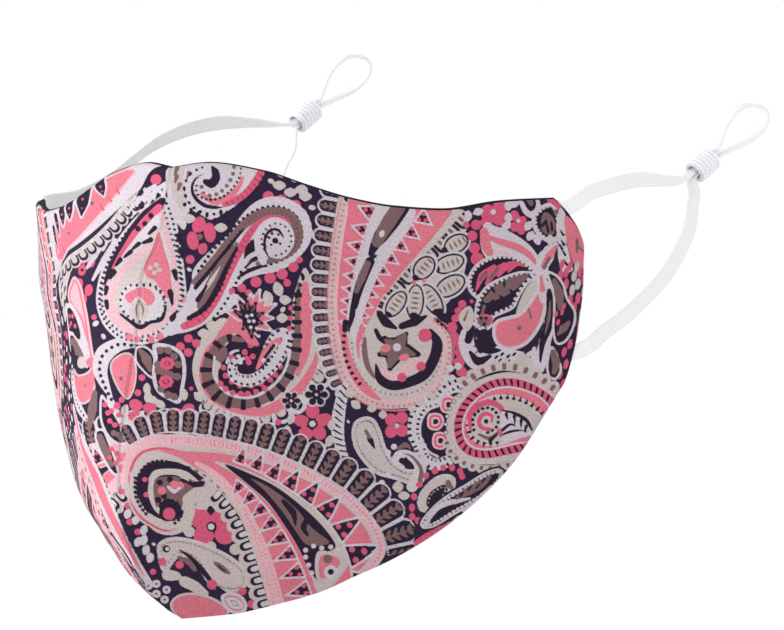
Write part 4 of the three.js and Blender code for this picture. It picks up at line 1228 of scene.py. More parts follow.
def hook_boteh(chart):
    """Right, under the flower: a boteh that curls in on itself, with a flowered side lobe."""
    lobe = stroke(chart, "chalk", [(470, 380), (458, 383), (446, 390), (438, 400), (424, 404),
        (415, 418), (414, 434), (420, 446), (424, 458), (436, 464), (448, 460), (456, 452)],
        [1.2, 1.7, 1.9, 1.9, 1.9, 1.9, 1.9, 1.9, 1.9, 1.9, 1.7, 1.2])
    lobe.dashes("ink", 0.75, 1.65, 0.9, 1.3)
    shape(chart, [(462, 392), (450, 396), (442, 404), (430, 412), (424, 424), (424, 438), (430, 450),
        (440, 456), (450, 448), (456, 430), (458, 410)]).fill("ink")
    stroke(chart, "chalk", [(460, 390), (448, 394), (440, 404), (428, 410), (421, 422), (421, 438),
        (428, 450), (438, 456)], [0.3] * 8)
    for cx, cy in [(448, 404), (435, 421), (440, 440)]:
        knot = [(cx-5, cy+2), (cx-4, cy-5), (cx+4, cy-5), (cx+6, cy+1), (cx+2, cy+6), (cx-4, cy+5),
            (cx-5, cy+2)]
        stroke(chart, "blush", knot, [1.0] * 7)
        stroke(chart, "rose", knot, [0.3] * 7)
        disc(chart, "ink", (cx+1, cy), 0.7)
    body = shape(chart, [(470, 384), (488, 376), (508, 372), (528, 376), (544, 386), (556, 396),
        (560, 404), (548, 424), (536, 444), (524, 456), (504, 462), (484, 464), (464, 460), (452, 448),
        (446, 430), (448, 410), (456, 394)])
    body.fill("cream")
    fringe = line(chart, [(462, 388), (478, 376), (498, 369), (518, 370), (536, 378), (552, 390),
        (566, 404)])
    fringe.leaves("cream", 0.5, -3.4, 3.1, full=1.0)
    fringe.leaves("taupe", 0.3, -2.0, 3.1, full=0.4)
    low = line(chart, [(446, 438), (454, 454), (468, 463), (486, 467), (506, 464), (524, 458),
        (536, 450)])
    low.leaves("cream", -0.5, 2.4, 2.6, full=1.0)
    low.leaves("taupe", -0.3, 1.3, 2.6, full=0.4)
    left = line(chart, [(462, 392), (452, 404), (446, 420), (446, 438)])
    left.dots("ink", 0.0, 2.40, 0.66)
    left.dots("chalk", 0.0, 2.40, 0.50)
    band = line(chart, [(556, 404), (544, 394), (528, 385), (510, 381), (492, 383), (476, 392),
        (463, 406), (457, 424), (460, 442), (470, 452), (486, 455), (504, 452), (522, 448), (534, 442)])
    band.band("rose", -1.5, 0.9)
    band.dashes("ink", -0.3, 2.0, 0.75, 2.2, slant=0.3)
    field = shape(chart, [(550, 408), (540, 396), (524, 389), (506, 386), (488, 390), (474, 400),
        (464, 414), (462, 432), (470, 446), (484, 450), (500, 448), (516, 444), (530, 442), (534, 434),
        (520, 436), (504, 442), (488, 444), (474, 438), (468, 424), (472, 410), (484, 400), (500, 396),
        (516, 398), (530, 404), (540, 416)])
    field.fill("chalk")
    field.fill("salmon", 0.45)
    ticks = line(chart, [(544, 416), (532, 406), (516, 399), (500, 398), (486, 402), (475, 411),
        (469, 424), (472, 436), (484, 443), (500, 442)])
    ticks.teeth("ink", -0.4, 1.9, 1.9, full=0.7)
    heart = shape(chart, [(474, 424), (480, 412), (490, 408), (500, 412), (504, 422), (498, 432),
        (486, 438), (476, 434)])
    heart.fill("cream")
    stroke(chart, "rose", [(470, 428), (470, 414), (478, 405), (490, 402), (501, 408), (504, 420)],
        [0.5, 0.8, 0.9, 0.9, 0.8, 0.4])
    line(chart, [(474, 432), (473, 418), (481, 409), (491, 408), (498, 416), (496, 427),
        (486, 433)]).dots("ink", 0.0, 1.5, 0.52)
    stroke(chart, "taupe", [(500, 430), (490, 438), (479, 434)], [0.4, 0.6, 0.4])
    stroke(chart, "rose", [(490, 429), (481, 427), (479, 419), (485, 413), (492, 416), (491, 422)],
        [0.5, 0.6, 0.6, 0.6, 0.5, 0.3])
    disc(chart, "ink", (486, 421), 0.7)
    fan = shape(chart, [(502, 410), (516, 412), (528, 420), (534, 430), (528, 436), (514, 438),
        (502, 440), (500, 428)])
    fan.fill("chalk")
    stroke(chart, "ink", [(502, 410), (514, 413), (526, 420), (532, 430)], [0.3, 0.5, 0.6, 0.4])
    for squares in [[(506, 414), (508, 420)], [(514, 416), (515, 423)], [(521, 420), (521, 427)],
        [(526, 426), (525, 432)], [(502, 430), (510, 424), (516, 426)],
        [(500, 436), (508, 432), (520, 430), (528, 432)], [(490, 440), (497, 434)]]:
        stroke(chart, "ink", squares, [0.6, 0.5, 0.3][:len(squares)] if len(squares) == 3 else ([0.6,
            0.3] if len(squares) == 2 else [0.3, 0.5, 0.4, 0.2]))
    petal(chart, "rose", (500, 432), 0.7, 1.4, -30)


def lower_right(chart):
    """Lower right: a small cream boteh, a dark oval, grey leaves and petals between them."""
    on_squares(petal, chart, "rose", [(391, 419), (402, 417), (391, 431), (402, 430)], 1.7, 1.8)
    disc(chart, "chalk", (397, 425), 0.7)
    small = shape(chart, [(364, 416), (374, 418), (381, 430), (386, 446), (394, 460), (406, 468),
        (420, 470), (420, 480), (414, 486), (404, 482), (392, 478), (378, 474), (366, 464), (356, 450),
        (352, 436), (354, 422)])
    small.fill("chalk")
    small.fill("cream", 0.5)
    small.dashes("taupe", 1.3, 1.1, 0.7, 0.5)
    stroke(chart, "ink", [(366, 430), (370, 438), (375, 448)], [0.3, 0.9, 0.2])
    stroke(chart, "taupe", [(366, 430), (370, 437)], [0.5, 0.5])
    stroke(chart, "chalk", [(412, 486), (420, 474), (418, 462), (408, 454), (398, 454), (396, 462),
        (404, 466)], [1.6, 1.9, 1.6, 1.3, 1.2, 0.9, 0.3])
    stroke(chart, "taupe", [(420, 480), (421, 468), (412, 456), (402, 452)], [0.8, 0.6, 0.5, 0.2])
    stroke(chart, "ink", [(404, 462), (407, 459), (405, 455)], [0.3, 0.4, 0.2])
    stroke(chart, "taupe", [(398, 448), (406, 444), (410, 448)], [0.4, 0.8, 0.3])
    on_squares(disc, chart, "chalk", [(388, 474), (382, 482), (394, 446), (388, 452)], 0.9)
    with_sizes(leaf, chart, "cream", [(398, 486, 1.6, 1.8, 0), (404, 495, 1.7, 1.4, 0),
        (412, 408, 1.2, 1.2, 0), (420, 402, 1.8, 1.2, 30), (432, 396, 1.2, 1.2, 0),
        (383, 414, 1.2, 1.4, 0), (372, 408, 1.4, 1.2, 0)])
    oval = shape(chart, [(450, 474), (456, 480), (452, 494), (440, 506), (426, 512), (418, 508),
        (418, 496), (426, 484), (438, 475)])
    oval.fill("chalk")
    oval.fill("cream", 0.4)
    middle = shape(chart, [(444, 484), (448, 488), (442, 500), (430, 508), (426, 502), (430, 492),
        (438, 486)])
    middle.fill("taupe")
    middle.fill("chalk", 0.4)
    middle.fill("ink", 0.8)
    middle.dots("ink", 0.5, 1.38, 0.50)
    stroke(chart, "taupe", [(448, 482), (452, 488)], [0.8, 0.5])
    with_sizes(petal, chart, "rose", [(419, 484, 1.1, 0.9, 0), (414, 496, 0.9, 1.1, 0),
        (412, 507, 0.9, 1.2, 0), (412, 516, 0.9, 1.1, 10), (418, 520, 0.9, 1.1, 0),
        (426, 475, 0.9, 1.1, 20), (435, 470, 1.0, 1.1, 20), (443, 467, 0.9, 1.0, 0),
        (452, 467, 0.9, 1.1, 0), (460, 471, 0.9, 1.1, -20), (462, 476, 0.9, 1.0, -20)])
    grey = shape(chart, [(500, 466), (506, 474), (500, 486), (480, 502), (456, 516), (436, 528),
        (422, 530), (418, 522), (428, 508), (444, 494), (464, 482), (484, 470)])
    grey.fill("ink")
    grey.band("chalk", 0.6, 1.1)
    grey.dots("chalk", 1.6, 1.38, 0.50)
    stroke(chart, "chalk", [(426, 524), (436, 510), (452, 502), (470, 498)], [0.4, 0.9, 0.9, 0.3])
    stroke(chart, "ink", [(430, 520), (440, 510), (454, 504)], [0.2, 0.4, 0.3])
    stroke(chart, "taupe", [(456, 498), (470, 490), (484, 482), (490, 476)], [0.5, 1.3, 1.4, 0.5])
    for x, y in [(462, 494), (470, 488), (478, 486), (484, 480)]:
        stroke(chart, "ink", [(x-2, y+2), (x+1, y-2)], [0.3, 0.3])
    for x, y in [(488, 490), (478, 500), (468, 508), (456, 520), (446, 526)]:
        stroke(chart, "chalk", [(x-4, y+3), (x+3, y-2)], [0.5, 0.8])
    strip = stroke(chart, "rose", [(412, 548), (424, 540), (440, 531), (454, 522)], [1.2, 1.6, 1.6, 0.6])
    strip.dashes("blush", 1.1, 1.8, 0.5, 1.2)
    stroke(chart, "chalk", [(462, 530), (474, 522), (490, 508), (504, 492)], [0.6, 1.0, 1.0, 0.6])
    with_sizes(disc, chart, "rose", [(510, 474, 0.9), (518, 466, 0.9), (504, 484, 0.7)])
    stroke(chart, "cream", [(508, 474), (520, 462), (534, 450)], [0.6, 0.9, 0.4])


def middle_flowers(chart):
    """Between the botehs: a rose flower, rings of chalk cells, a striped feather and tall fringe leaves."""
    with_sizes(petal, chart, "rose", [(313, 410, 2.0, 2.2, 0), (324, 419, 2.4, 1.8, -20),
        (320, 432, 1.9, 2.1, -30), (306, 433, 2.1, 2.0, 30), (302, 420, 2.3, 1.7, 15)])
    disc(chart, "ink", (313, 423), 1.5)
    disc(chart, "chalk", (313, 423), 0.95)
    for cx, cy, size in [(317, 394, 1.0), (292, 400, 0.8)]:
        spots = [(cx + 8 * size * math.cos(k * math.pi / 3),
            cy + 8 * size * math.sin(k * math.pi / 3)) for k in range(6)]
        for spot in spots:
            disc(chart, "chalk", spot, 1.5 * size)
        for spot in spots:
            disc(chart, "ink", spot, 1.1 * size)
        disc(chart, "ink", (cx, cy), 1.5 * size)
        disc(chart, "cream", (cx, cy), 0.6)
    feather = line(chart, [(346, 384), (342, 398), (339, 414), (338, 430), (341, 446), (347, 458)])
    feather.ribbon("chalk", [0.8, 1.7, 1.9, 1.9, 1.6, 0.8])
    feather.dashes("ink", 0.0, 1.9, 0.85, 3.0, slant=-0.7)
    for x, y, turn in [(330, 440, 10), (322, 447, 60), (296, 441, -30), (288, 430, 0), (292, 418, 20),
        (332, 424, 0), (350, 392, -20), (356, 404, -50), (284, 446, 60), (306, 448, 80)]:
        leaf(chart, "cream", (x, y), 1.2, 1.8, turn)
    with_sizes(disc, chart, "rose", [(282, 432, 1.1), (279, 421, 1.0), (330, 456, 1.0), (316, 452, 1.0),
        (344, 466, 0.9)])


def low_boteh(chart):
    """The large boteh over the chin: a pale border round a salmon field, a dark heart and rows of teeth."""
    body = shape(chart, [(126, 472), (129, 456), (138, 444), (152, 438), (180, 435), (210, 438),
        (240, 443), (270, 452), (300, 465), (330, 481), (352, 496), (370, 513), (381, 531), (386, 548),
        (381, 561), (366, 577), (335, 592), (300, 608), (272, 612), (266, 590), (259, 566), (252, 545),
        (244, 522), (232, 502), (216, 486), (196, 470), (175, 460), (150, 462), (140, 480), (143, 500),
        (152, 515), (166, 524), (150, 524), (136, 512), (129, 495)])
    body.fill("cream")
    border = line(chart, [(128, 478), (132, 456), (142, 445), (160, 440), (185, 439), (215, 442),
        (245, 448), (275, 457), (303, 470), (331, 486), (352, 501), (368, 518), (377, 534), (381, 548),
        (376, 560), (362, 576)], [1.3, 1.7, 1.7, 1.5, 1.2, 1.2])
    border.fill("blush")
    border.dashes("rose", 1.15, 1.25, 0.4, 0.9, slant=0.3, start=20)
    stroke(chart, "rose", [(133, 492), (132, 475), (137, 459), (147, 450), (165, 447), (185, 450)],
        [0.25, 0.45, 0.4, 0.15])
    field = shape(chart, [(160, 448), (190, 450), (222, 452), (250, 458), (280, 467), (308, 480),
        (336, 498), (356, 515), (368, 532), (373, 548), (368, 560), (350, 578), (320, 598), (283, 608),
        (277, 590), (272, 570), (265, 548), (256, 526), (246, 508), (234, 492), (218, 478), (200, 468),
        (180, 456)])
    field.fill("salmon")
    pale = stroke(chart, "blush", [(198, 462), (212, 470), (226, 483), (240, 500), (252, 522),
        (262, 546), (270, 572), (276, 596), (279, 608)], [0.7, 1.3, 1.5, 1.6, 1.9, 2.1, 2.2])
    pale.dashes("rose", 1.2, 1.3, 0.35, 0.8, start=14)
    heart = shape(chart, [(214, 460), (232, 463), (256, 472), (280, 484), (304, 500), (326, 519),
        (344, 540), (352, 556), (344, 572), (330, 588), (318, 592), (310, 572), (300, 550), (288, 528),
        (272, 506), (254, 488), (234, 472)])
    heart.fill("cream")
    core = shape(chart, [(226, 463), (250, 472), (276, 485), (300, 503), (322, 524), (336, 545),
        (326, 552), (316, 564), (318, 580), (308, 566), (298, 545), (284, 522), (268, 500), (248, 482)])
    core.fill("ink")
    shape(chart, [(250, 476), (272, 487), (296, 506), (312, 526), (330, 541), (318, 545), (306, 543),
        (296, 530), (284, 512), (266, 490)]).fill("taupe")
    stroke(chart, "ink", [(284, 500), (294, 512), (296, 524)], [0.6, 1.0, 0.3])
    stroke(chart, "ink", [(308, 516), (304, 526), (308, 534)], [0.5, 0.9, 0.4])
    on_squares(disc, chart, "chalk", [(306, 549), (314, 545), (322, 547), (331, 546), (338, 549),
        (306, 556), (309, 564), (312, 572)], 0.75)
    shape(chart, [(318, 550), (334, 552), (342, 556), (347, 567), (336, 575), (322, 584),
        (315, 570)]).fill("cream")
    shape(chart, [(322, 554), (336, 556), (340, 563), (330, 574), (322, 578), (319, 568)]).fill("salmon")
    disc(chart, "taupe", (328, 558), 1.3)
    disc(chart, "chalk", (331, 571), 2.0)
    disc(chart, "ink", (331, 571), 1.0)
    upper = line(chart, [(229, 459), (252, 468), (276, 481), (299, 496), (320, 514), (336, 534),
        (347, 556), (352, 580)])
    upper.beaded_teeth(-6.6, 4.6, grow=1.8, start=1.0)
    lower = line(chart, [(233, 473), (250, 486), (266, 503), (281, 523), (293, 544), (302, 564),
        (309, 582), (314, 598)])
    lower.beaded_teeth(6.4, 4.6, grow=1.35, start=1.5)
    scallops = line(chart, [(216, 487), (228, 498), (238, 513), (247, 531), (254, 551), (260, 571),
        (265, 590), (270, 607)])
    scallops.leaves("cream", 0.3, 4.4, 3.6, full=1.12)
    scallops.leaves("ink", -0.2, 3.6, 3.6, full=0.8, inset=0.1)
    scallops.leaves("chalk", -0.2, 2.4, 3.6, full=0.42)
    curl = stroke(chart, "cream", [(139, 474), (139, 492), (146, 507), (157, 518), (170, 526),
        (183, 523), (191, 512), (189, 500), (180, 492), (170, 492), (163, 499)],
        [2.0, 2.0, 2.0, 2.0, 2.1, 2.1, 1.8, 1.6, 1.3, 0.9, 0.5])
    stroke(chart, "rose", [(131, 496), (140, 512), (152, 522), (168, 529), (184, 525)],
        [0.15, 0.35, 0.35, 0.3, 0.1])
    curl.dots("ink", 1.5, 1.38, 0.50, start=0.0, stop=12)
    stroke(chart, "ink", [(178, 467), (165, 464), (153, 466), (146, 476), (145, 490), (150, 504),
        (160, 514), (168, 518)], [0.1, 0.9, 1.3, 1.5, 1.5, 1.2, 0.8, 0.1])
    on_squares(disc, chart, "rose", [(147, 478), (148, 493)], 0.85)
    stroke(chart, "cream", [(200, 480), (186, 472), (170, 470), (158, 473), (153, 484), (155, 500),
        (162, 511), (170, 516)], [0.3, 0.9, 0.9, 0.9, 0.8, 0.8, 0.8, 0.5])
    inner = shape(chart, [(158, 478), (170, 475), (184, 477), (196, 484), (190, 492), (184, 502),
        (176, 498), (165, 498), (159, 506), (156, 494)])
    inner.fill("taupe")
    on_squares(disc, chart, "ink", [(162, 481), (172, 478), (184, 480), (166, 494), (177, 489),
        (160, 498)], 0.9)
    on_squares(disc, chart, "salmon", [(164, 489), (182, 484), (176, 483)], 1.3)
    stroke(chart, "chalk", [(170, 485), (176, 490), (182, 486)], [0.4, 0.6, 0.4])
    stroke(chart, "ink", [(178, 500), (182, 508), (180, 516)], [0.3, 0.3, 0.2])
    beak = shape(chart, [(184, 496), (196, 486), (208, 482), (218, 488), (212, 496), (198, 500),
        (193, 512), (188, 508)])
    beak.fill("cream")
    stroke(chart, "ink", [(186, 479), (196, 484), (207, 484)], [0.3, 0.5, 0.2])
    disc(chart, "ink", (170, 511), 2.6)
    disc(chart, "rose", (171, 512), 1.9)
    ring = line(chart, [(162, 506), (168, 499), (177, 500), (183, 508), (182, 517), (176, 522)])
    ring.dots("ink", 0.0, 1.38, 0.50)
    head = line(chart, [(141, 498), (139, 482), (144, 468), (156, 460), (176, 461), (198, 469),
        (214, 480), (228, 495)])
    head.dots("ink", 0.0, 1.38, 0.50, start=0, stop=18)
    head.dashes("ink", 0.0, 2.6, 1.5, 0.42, start=20)
    fringe = line(chart, [(131, 446), (148, 437), (170, 432), (200, 434), (232, 440), (262, 448),
        (292, 460), (322, 475), (348, 492), (368, 512), (382, 534), (388, 556)])
    fringe.ears(-6.8, 3.8, outline=0.4, grow=1.5)


def chin_pieces(chart):
    """What fills the low boteh's left side: a rose flower, a small cream boteh and the chin's ovals."""
    on_squares(disc, chart, "rose", [(202, 517), (222, 518), (205, 534), (226, 533)], 2.9)
    on_squares(disc, chart, "cream", [(203, 503), (219, 503), (191, 530), (212, 545), (236, 548)], 1.6)
    disc(chart, "ink", (213, 525), 1.5)
    disc(chart, "chalk", (212.5, 525), 0.95)
    small = shape(chart, [(159, 552), (159, 543), (166, 537), (178, 535), (196, 538), (216, 546),
        (234, 556), (247, 568), (249, 580), (243, 590), (232, 592), (216, 588), (206, 578), (199, 566),
        (190, 557), (180, 556), (172, 566), (168, 572), (162, 566)])
    small.fill("chalk")
    small.fill("cream", 0.5)
    small.dashes("taupe", 1.4, 1.2, 0.75, 0.5)
    stroke(chart, "ink", [(181, 548), (192, 556), (203, 568), (214, 582), (226, 592), (238, 592)],
        [0.2, 0.6, 0.8, 0.7, 0.6, 0.4])
    shape(chart, [(214, 560), (222, 562), (232, 572), (226, 572), (218, 566)]).fill("taupe")
    stroke(chart, "ink", [(219, 564), (226, 570)], [0.25, 0.25])
    stroke(chart, "taupe", [(181, 556), (190, 560), (196, 568)], [0.6, 0.9, 0.6])
    disc(chart, "ink", (168, 547), 1.1)
    disc(chart, "chalk", (169, 547), 0.6)
    on_squares(disc, chart, "rose", [(164, 560), (181, 563), (213, 583)], 1.2)
    disc(chart, "rose", (213, 583), 1.5)
    stroke(chart, "cream", [(186, 580), (196, 585), (206, 592)], [1.6, 1.6, 1.0])
    shape(chart, [(164, 570), (172, 568), (182, 572), (180, 578), (166, 578)]).fill("cream")
    oval = shape(chart, [(171, 604), (178, 594), (192, 591), (208, 594), (222, 601), (230, 611),
        (222, 620), (200, 624), (180, 618)])
    oval.fill("cream")
    oval.fill("salmon", 0.7)
    eggs = shape(chart, [(222, 594), (234, 591), (244, 596), (248, 605), (244, 612), (232, 612),
        (224, 604)])
    eggs.fill("chalk")
    eggs.band("salmon", 0.8, 1.5)
    eggs.band("taupe", 2.2, 2.7)
    on_squares(disc, chart, "rose", [(243, 590), (252, 603), (258, 596)], 1.2)


SCATTER_SEED = 11
SCATTER_TRIES = 30000
SCATTER_GAP = 0.45
SCATTER_LARGEST = 1.45
SCATTER_SHRINK = 0.9
ROSE_SHARE = 0.42
CREAM_SHARE = 0.7
PALE_NARROWING = 0.72


def scatter(chart):
    """Small petals and dots on the dark ground wherever the motifs leave room."""
    random = np.random.default_rng(SCATTER_SEED)
    free = -chart.covered()
    for k in range(SCATTER_TRIES):
        x = random.uniform(CHART_LOW[0], CHART_HIGH[0])
        y = random.uniform(CHART_LOW[1], CHART_HIGH[1])
        size = SCATTER_LARGEST - SCATTER_SHRINK * k / SCATTER_TRIES
        i, j = int((x - CHART_LOW[0]) / CHART_STEP), int((y - CHART_LOW[1]) / CHART_STEP)
        if free[min(j, free.shape[0] - 1), min(i, free.shape[1] - 1)] < size + SCATTER_GAP:
            continue
        turn = random.uniform(0, math.pi)
        window = chart.window([(x, y)], size + 3.0)
        across, down = chart.grid(window)
        u = (across - x) * math.cos(turn) + (down - y) * math.sin(turn)
        v = (down - y) * math.cos(turn) - (across - x) * math.sin(turn)
        if random.random() < ROSE_SHARE:
            ink = "rose"
        else:
            ink = "cream" if random.random() < CREAM_SHARE else "chalk"
        narrow = 1.0 if ink == "rose" else PALE_NARROWING
        inside = (1 - np.hypot(u / (size * narrow), v / size)) * size * narrow
        chart.paint(ink, window, inside)
        free[window] = np.minimum(free[window], -inside)


def draw_print(chart):
    """The whole paisley print. The far cheek carries the near cheek's motifs turned over."""
    chart.mirrored = True
    for motif in (low_boteh, spine_leaves, upper_boteh, right_edge, right_orchid, hook_boteh, lower_right):
        motif(chart)
    chart.mirrored = False
    for motif in (left_leaves, left_band, nose_drop, flower_bunch, top_curl, curl_boteh, ring_boteh,
                  spine_leaves, upper_boteh, right_edge, right_orchid, hook_boteh, lower_right,
                  middle_flowers, chin_pieces, low_boteh):
        motif(chart)
    scatter(chart)


# Elastic straps and beads


def route_point(points, t):
    """The centripetal curve through the points at t from 0 to 1, and its heading."""
    last = len(points) - 1
    i = min(int(t * last), last - 1)
    w = t * last - i
    p1, p2 = points[i], points[i + 1]
    p0 = points[i - 1] if i > 0 else 2 * p1 - p2
    p3 = points[i + 2] if i < last - 1 else 2 * p2 - p1
    d0, d1, d2 = [max(np.linalg.norm(b - a) ** 0.5, 1e-4) for a, b in ((p0, p1), (p1, p2), (p2, p3))]
    m1 = ((p1 - p0) / d0 - (p2 - p0) / (d0 + d1) + (p2 - p1) / d1) * d1
    m2 = ((p2 - p1) / d1 - (p3 - p1) / (d1 + d2) + (p3 - p2) / d2) * d1
    a, b = 2 * (p1 - p2) + m1 + m2, -3 * (p1 - p2) - 2 * m1 - m2
    place = p1 + m1 * w + b * w * w + a * w**3
    return place, unit(m1 + 2 * b * w + 3 * a * w * w), i, w


def ear_edge(side, down):
    """The middle of both layers at the ear edge, the way out of the cloth and the edge's direction."""
    v = np.array([down])
    one, small = np.ones(1), 0.004
    outer = cloth_point(one, v)[0]
    along = unit(outer - cloth_point(one - small, v)[0])
    drop = unit(cloth_point(one, v + small)[0] - cloth_point(one, v - small)[0])
    inward = unit(np.cross(along, drop))
    turn = math.radians(table_value(ROWS, ROW_COLUMNS.index("ear_turn"), v)[0])
    middle = outer + inward * (OUTER_CLOTH + LAYER_GAP + LINING_CLOTH) / 2
    lead = np.array([math.cos(turn), math.sin(turn), 0])
    flip = np.array([side, 1, 1])
    return middle * flip, lead * flip, drop * flip


def bead_frame(loop):
    """A bead's centre, its axis and the direction from one strand to the other."""
    axis = unit(BEAD_AXIS)
    across = unit(STACKING - axis * (STACKING @ axis))
    start, lead, _ = ear_edge(loop["side"], UPPER_STRAP_AT)
    centre = start + lead * (LINING_SHOWS + SEAM_GAP) + np.array(loop["bead"], float)
    return centre, axis, across


def strap_stops(loop):
    """Each stop of a loop's elastic: its place, the strap's width there and the way that it faces."""
    centre, axis, across = bead_frame(loop)
    outward = np.array([loop["side"] * 0.87, -0.5, 0.0])
    offset = (STRAP_THICKNESS + STRAND_GAP) / 2
    straight = BEAD_LENGTH / 2 + STRAP_THICKNESS

    def near_bead(along, side):
        return centre + axis * along + across * side

    def ear_end(down, facing):
        middle, lead, _ = ear_edge(loop["side"], down)
        root = middle + lead * (LINING_SHOWS + SEAM_GAP)
        climbing = unit(lead + np.array([0.0, 0.0, STRAP_CLIMB]))
        return [(middle - lead * TUCKED_IN, STRAP_WIDTH, facing), (root, STRAP_WIDTH, facing),
                (root + climbing * STRAP_WIDTH, STRAP_WIDTH, facing)]

    def strand(points, at_ear, at_bead, narrows_from):
        for k, point in enumerate(points):
            share = (k + 1) / (len(points) + 1)
            narrowed = smooth_share(share, narrows_from, 1.0)
            width = STRAP_WIDTH + (PINCHED_WIDTH - STRAP_WIDTH) * narrowed
            yield centre + np.array(point), width, at_ear + (at_bead - at_ear) * narrowed

    stops = ear_end(UPPER_STRAP_AT, outward)
    stops += strand(loop["upper"], outward, outward + across, loop["narrows_from"])
    stops += [(near_bead(a, offset), PINCHED_WIDTH, across) for a in (-straight, 0, straight)]
    for along, side in SMALL_LOOP:
        facing = axis * max(along - SMALL_LOOP[2][0], 0) + across * side
        stops.append((near_bead(along, side), PINCHED_WIDTH, facing))
    stops += [(near_bead(a, -offset), PINCHED_WIDTH, -across) for a in (straight, 0, -straight)]
    stops += list(strand(loop["lower"][::-1], -outward, LOWER_FACING, 0.8))[::-1]
    stops += ear_end(LOWER_STRAP_AT, -outward)[::-1]
    return [(place, width, unit(facing)) for place, width, facing in stops]


STRAP_STEPS = 720
STRAP_SIDES = 20


def strap_section(half_wide, half_thick):
    """A flat section with rounded edges and a slightly fuller selvedge on each side."""
    turns = np.linspace(0, 2 * math.pi, STRAP_SIDES, endpoint=False)
    square = 0.35
    wide = np.sign(np.cos(turns)) * np.abs(np.cos(turns)) ** square * half_wide
    thick = np.sign(np.sin(turns)) * np.abs(np.sin(turns)) ** 0.6 * half_thick
    selvedge = 1 + 0.18 * smooth_share(np.abs(wide) / half_wide, 0.7, 0.95)
    return wide, thick * selvedge * 0.9


def make_strap(side_name, material):
    """One flat elastic, from the cloth through its bead, round the small loop and back."""
    stops = strap_stops(LOOPS[side_name])
    places = np.array([s[0] for s in stops])
    vertices, along, across, travelled = [], [], [], 0.0
    before = places[0]
    for k in range(STRAP_STEPS + 1):
        place, heading, i, w = route_point(places, k / STRAP_STEPS)
        face = stops[i][2] * (1 - w) + stops[i + 1][2] * w
        face = unit(face - heading * (face @ heading))
        wide_way = np.cross(heading, face)
        width = stops[i][1] * (1 - w) + stops[i + 1][1] * w
        wide, thick = strap_section(width / 2, STRAP_THICKNESS / 2)
        travelled += np.linalg.norm(place - before)
        before = place
        vertices.append(place + wide[:, None] * wide_way + thick[:, None] * face)
        along.append(np.full(STRAP_SIDES, travelled))
        across.append(wide / width * 2)
    ring = np.arange(STRAP_SIDES)
    after = (ring + 1) % STRAP_SIDES
    faces = [np.stack([k + ring, k + STRAP_SIDES + ring, k + STRAP_SIDES + after, k + after], 1)
             for k in range(0, STRAP_STEPS * STRAP_SIDES, STRAP_SIDES)]
    made = make_object("elastic_" + side_name, np.vstack(vertices), np.vstack(faces), material)
    add_values(made, "along", np.concatenate(along))
    add_values(made, "across", np.concatenate(across))
    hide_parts("ear_loop_" + side_name)
    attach(made, "root")
    return travelled


BEAD_SIDES = 72
RIB_POINTS = 9


def make_bead(side_name, material):
    """A soft bead with rounded ribs round it and a hole for both strands."""
    centre, axis, across = bead_frame(LOOPS[side_name])
    hole = math.hypot(PINCHED_WIDTH / 2, STRAP_THICKNESS + STRAND_GAP / 2) + BEAD_CLEARANCE
    outer = hole + BEAD_WALL
    rounding = 0.5
    half = BEAD_LENGTH / 2
    profile = [(hole, 0.0), (hole, -half + rounding)]
    profile += [(hole + rounding * (1 - math.cos(a)), -half + rounding * (1 - math.sin(a)))
                for a in np.linspace(0.3, math.pi / 2, 4)]
    span = BEAD_LENGTH - 2 * rounding
    for k in range(RIB_COUNT * RIB_POINTS + 1):
        share = k / (RIB_COUNT * RIB_POINTS)
        bulge = abs(math.sin(math.pi * share * RIB_COUNT)) ** 0.6
        barrel = 0.12 * math.sin(math.pi * share)
        profile.append((outer - RIB_DEPTH + RIB_DEPTH * bulge + barrel, (share - 0.5) * span))
    profile += [(hole + rounding * (1 - math.cos(a)), half - rounding * (1 - math.sin(a)))
                for a in np.linspace(math.pi / 2, 0.3, 4)]
    profile += [(hole, half - rounding)]
    side = np.cross(axis, across)
    turns = np.linspace(0, 2 * math.pi, BEAD_SIDES, endpoint=False)
    vertices = [centre + axis * z + (across * math.cos(a) + side * math.sin(a)) * r
                for r, z in profile for a in turns]
    count = len(profile)
    faces = [[(k % count) * BEAD_SIDES + s, (k % count) * BEAD_SIDES + (s + 1) % BEAD_SIDES,
              ((k + 1) % count) * BEAD_SIDES + (s + 1) % BEAD_SIDES, ((k + 1) % count) * BEAD_SIDES + s]
             for k in range(count) for s in range(BEAD_SIDES)]
    made = make_object("ribbed_bead_" + side_name, vertices, faces, material)
    rib = [smooth_share(r, outer - RIB_DEPTH, outer) for r, _ in profile]
    add_values(made, "rib", np.repeat(rib, BEAD_SIDES))
    add_values(made, "length", np.repeat([z for _, z in profile], BEAD_SIDES))
    add_values(made, "round", np.tile(turns * outer, count))
    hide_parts("loop_adjuster_" + side_name)
    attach(made, "root")


# Cloth pieces

SHELL_COLUMNS = 280
SHELL_ROWS = 330
LINING_COLUMNS = 120
LINING_ROWS = 130
# The print is square to this direction, and on the far half no closer than a share of the cloth's length
PRINT_TURN = 30.0
PRINT_CLOSEST = 0.35
PRINT_EASE = 15.0
PRINT_FARTHEST = 0.93
# The hem rolls inward over this width, sinks this far, and covers this share of the cloth's thickness
HEM_WIDTH = 1.6
HEM_SINK = 0.5
HEM_SHARE = 0.9


def edge_distance(sheet):
    """How far each place lies from the nearest of the top, bottom and ear edges, in millimetres."""
    points = sheet["points"]
    down_gap = np.concatenate([np.zeros((1, points.shape[1])),
                               np.cumsum(np.linalg.norm(np.diff(points, axis=0), axis=2), axis=0)])
    to_top, to_bottom = down_gap, down_gap[-1] - down_gap
    to_ear = sheet["arc"][:, -1:] - sheet["arc"]
    return np.minimum(np.minimum(to_top, to_bottom), to_ear)


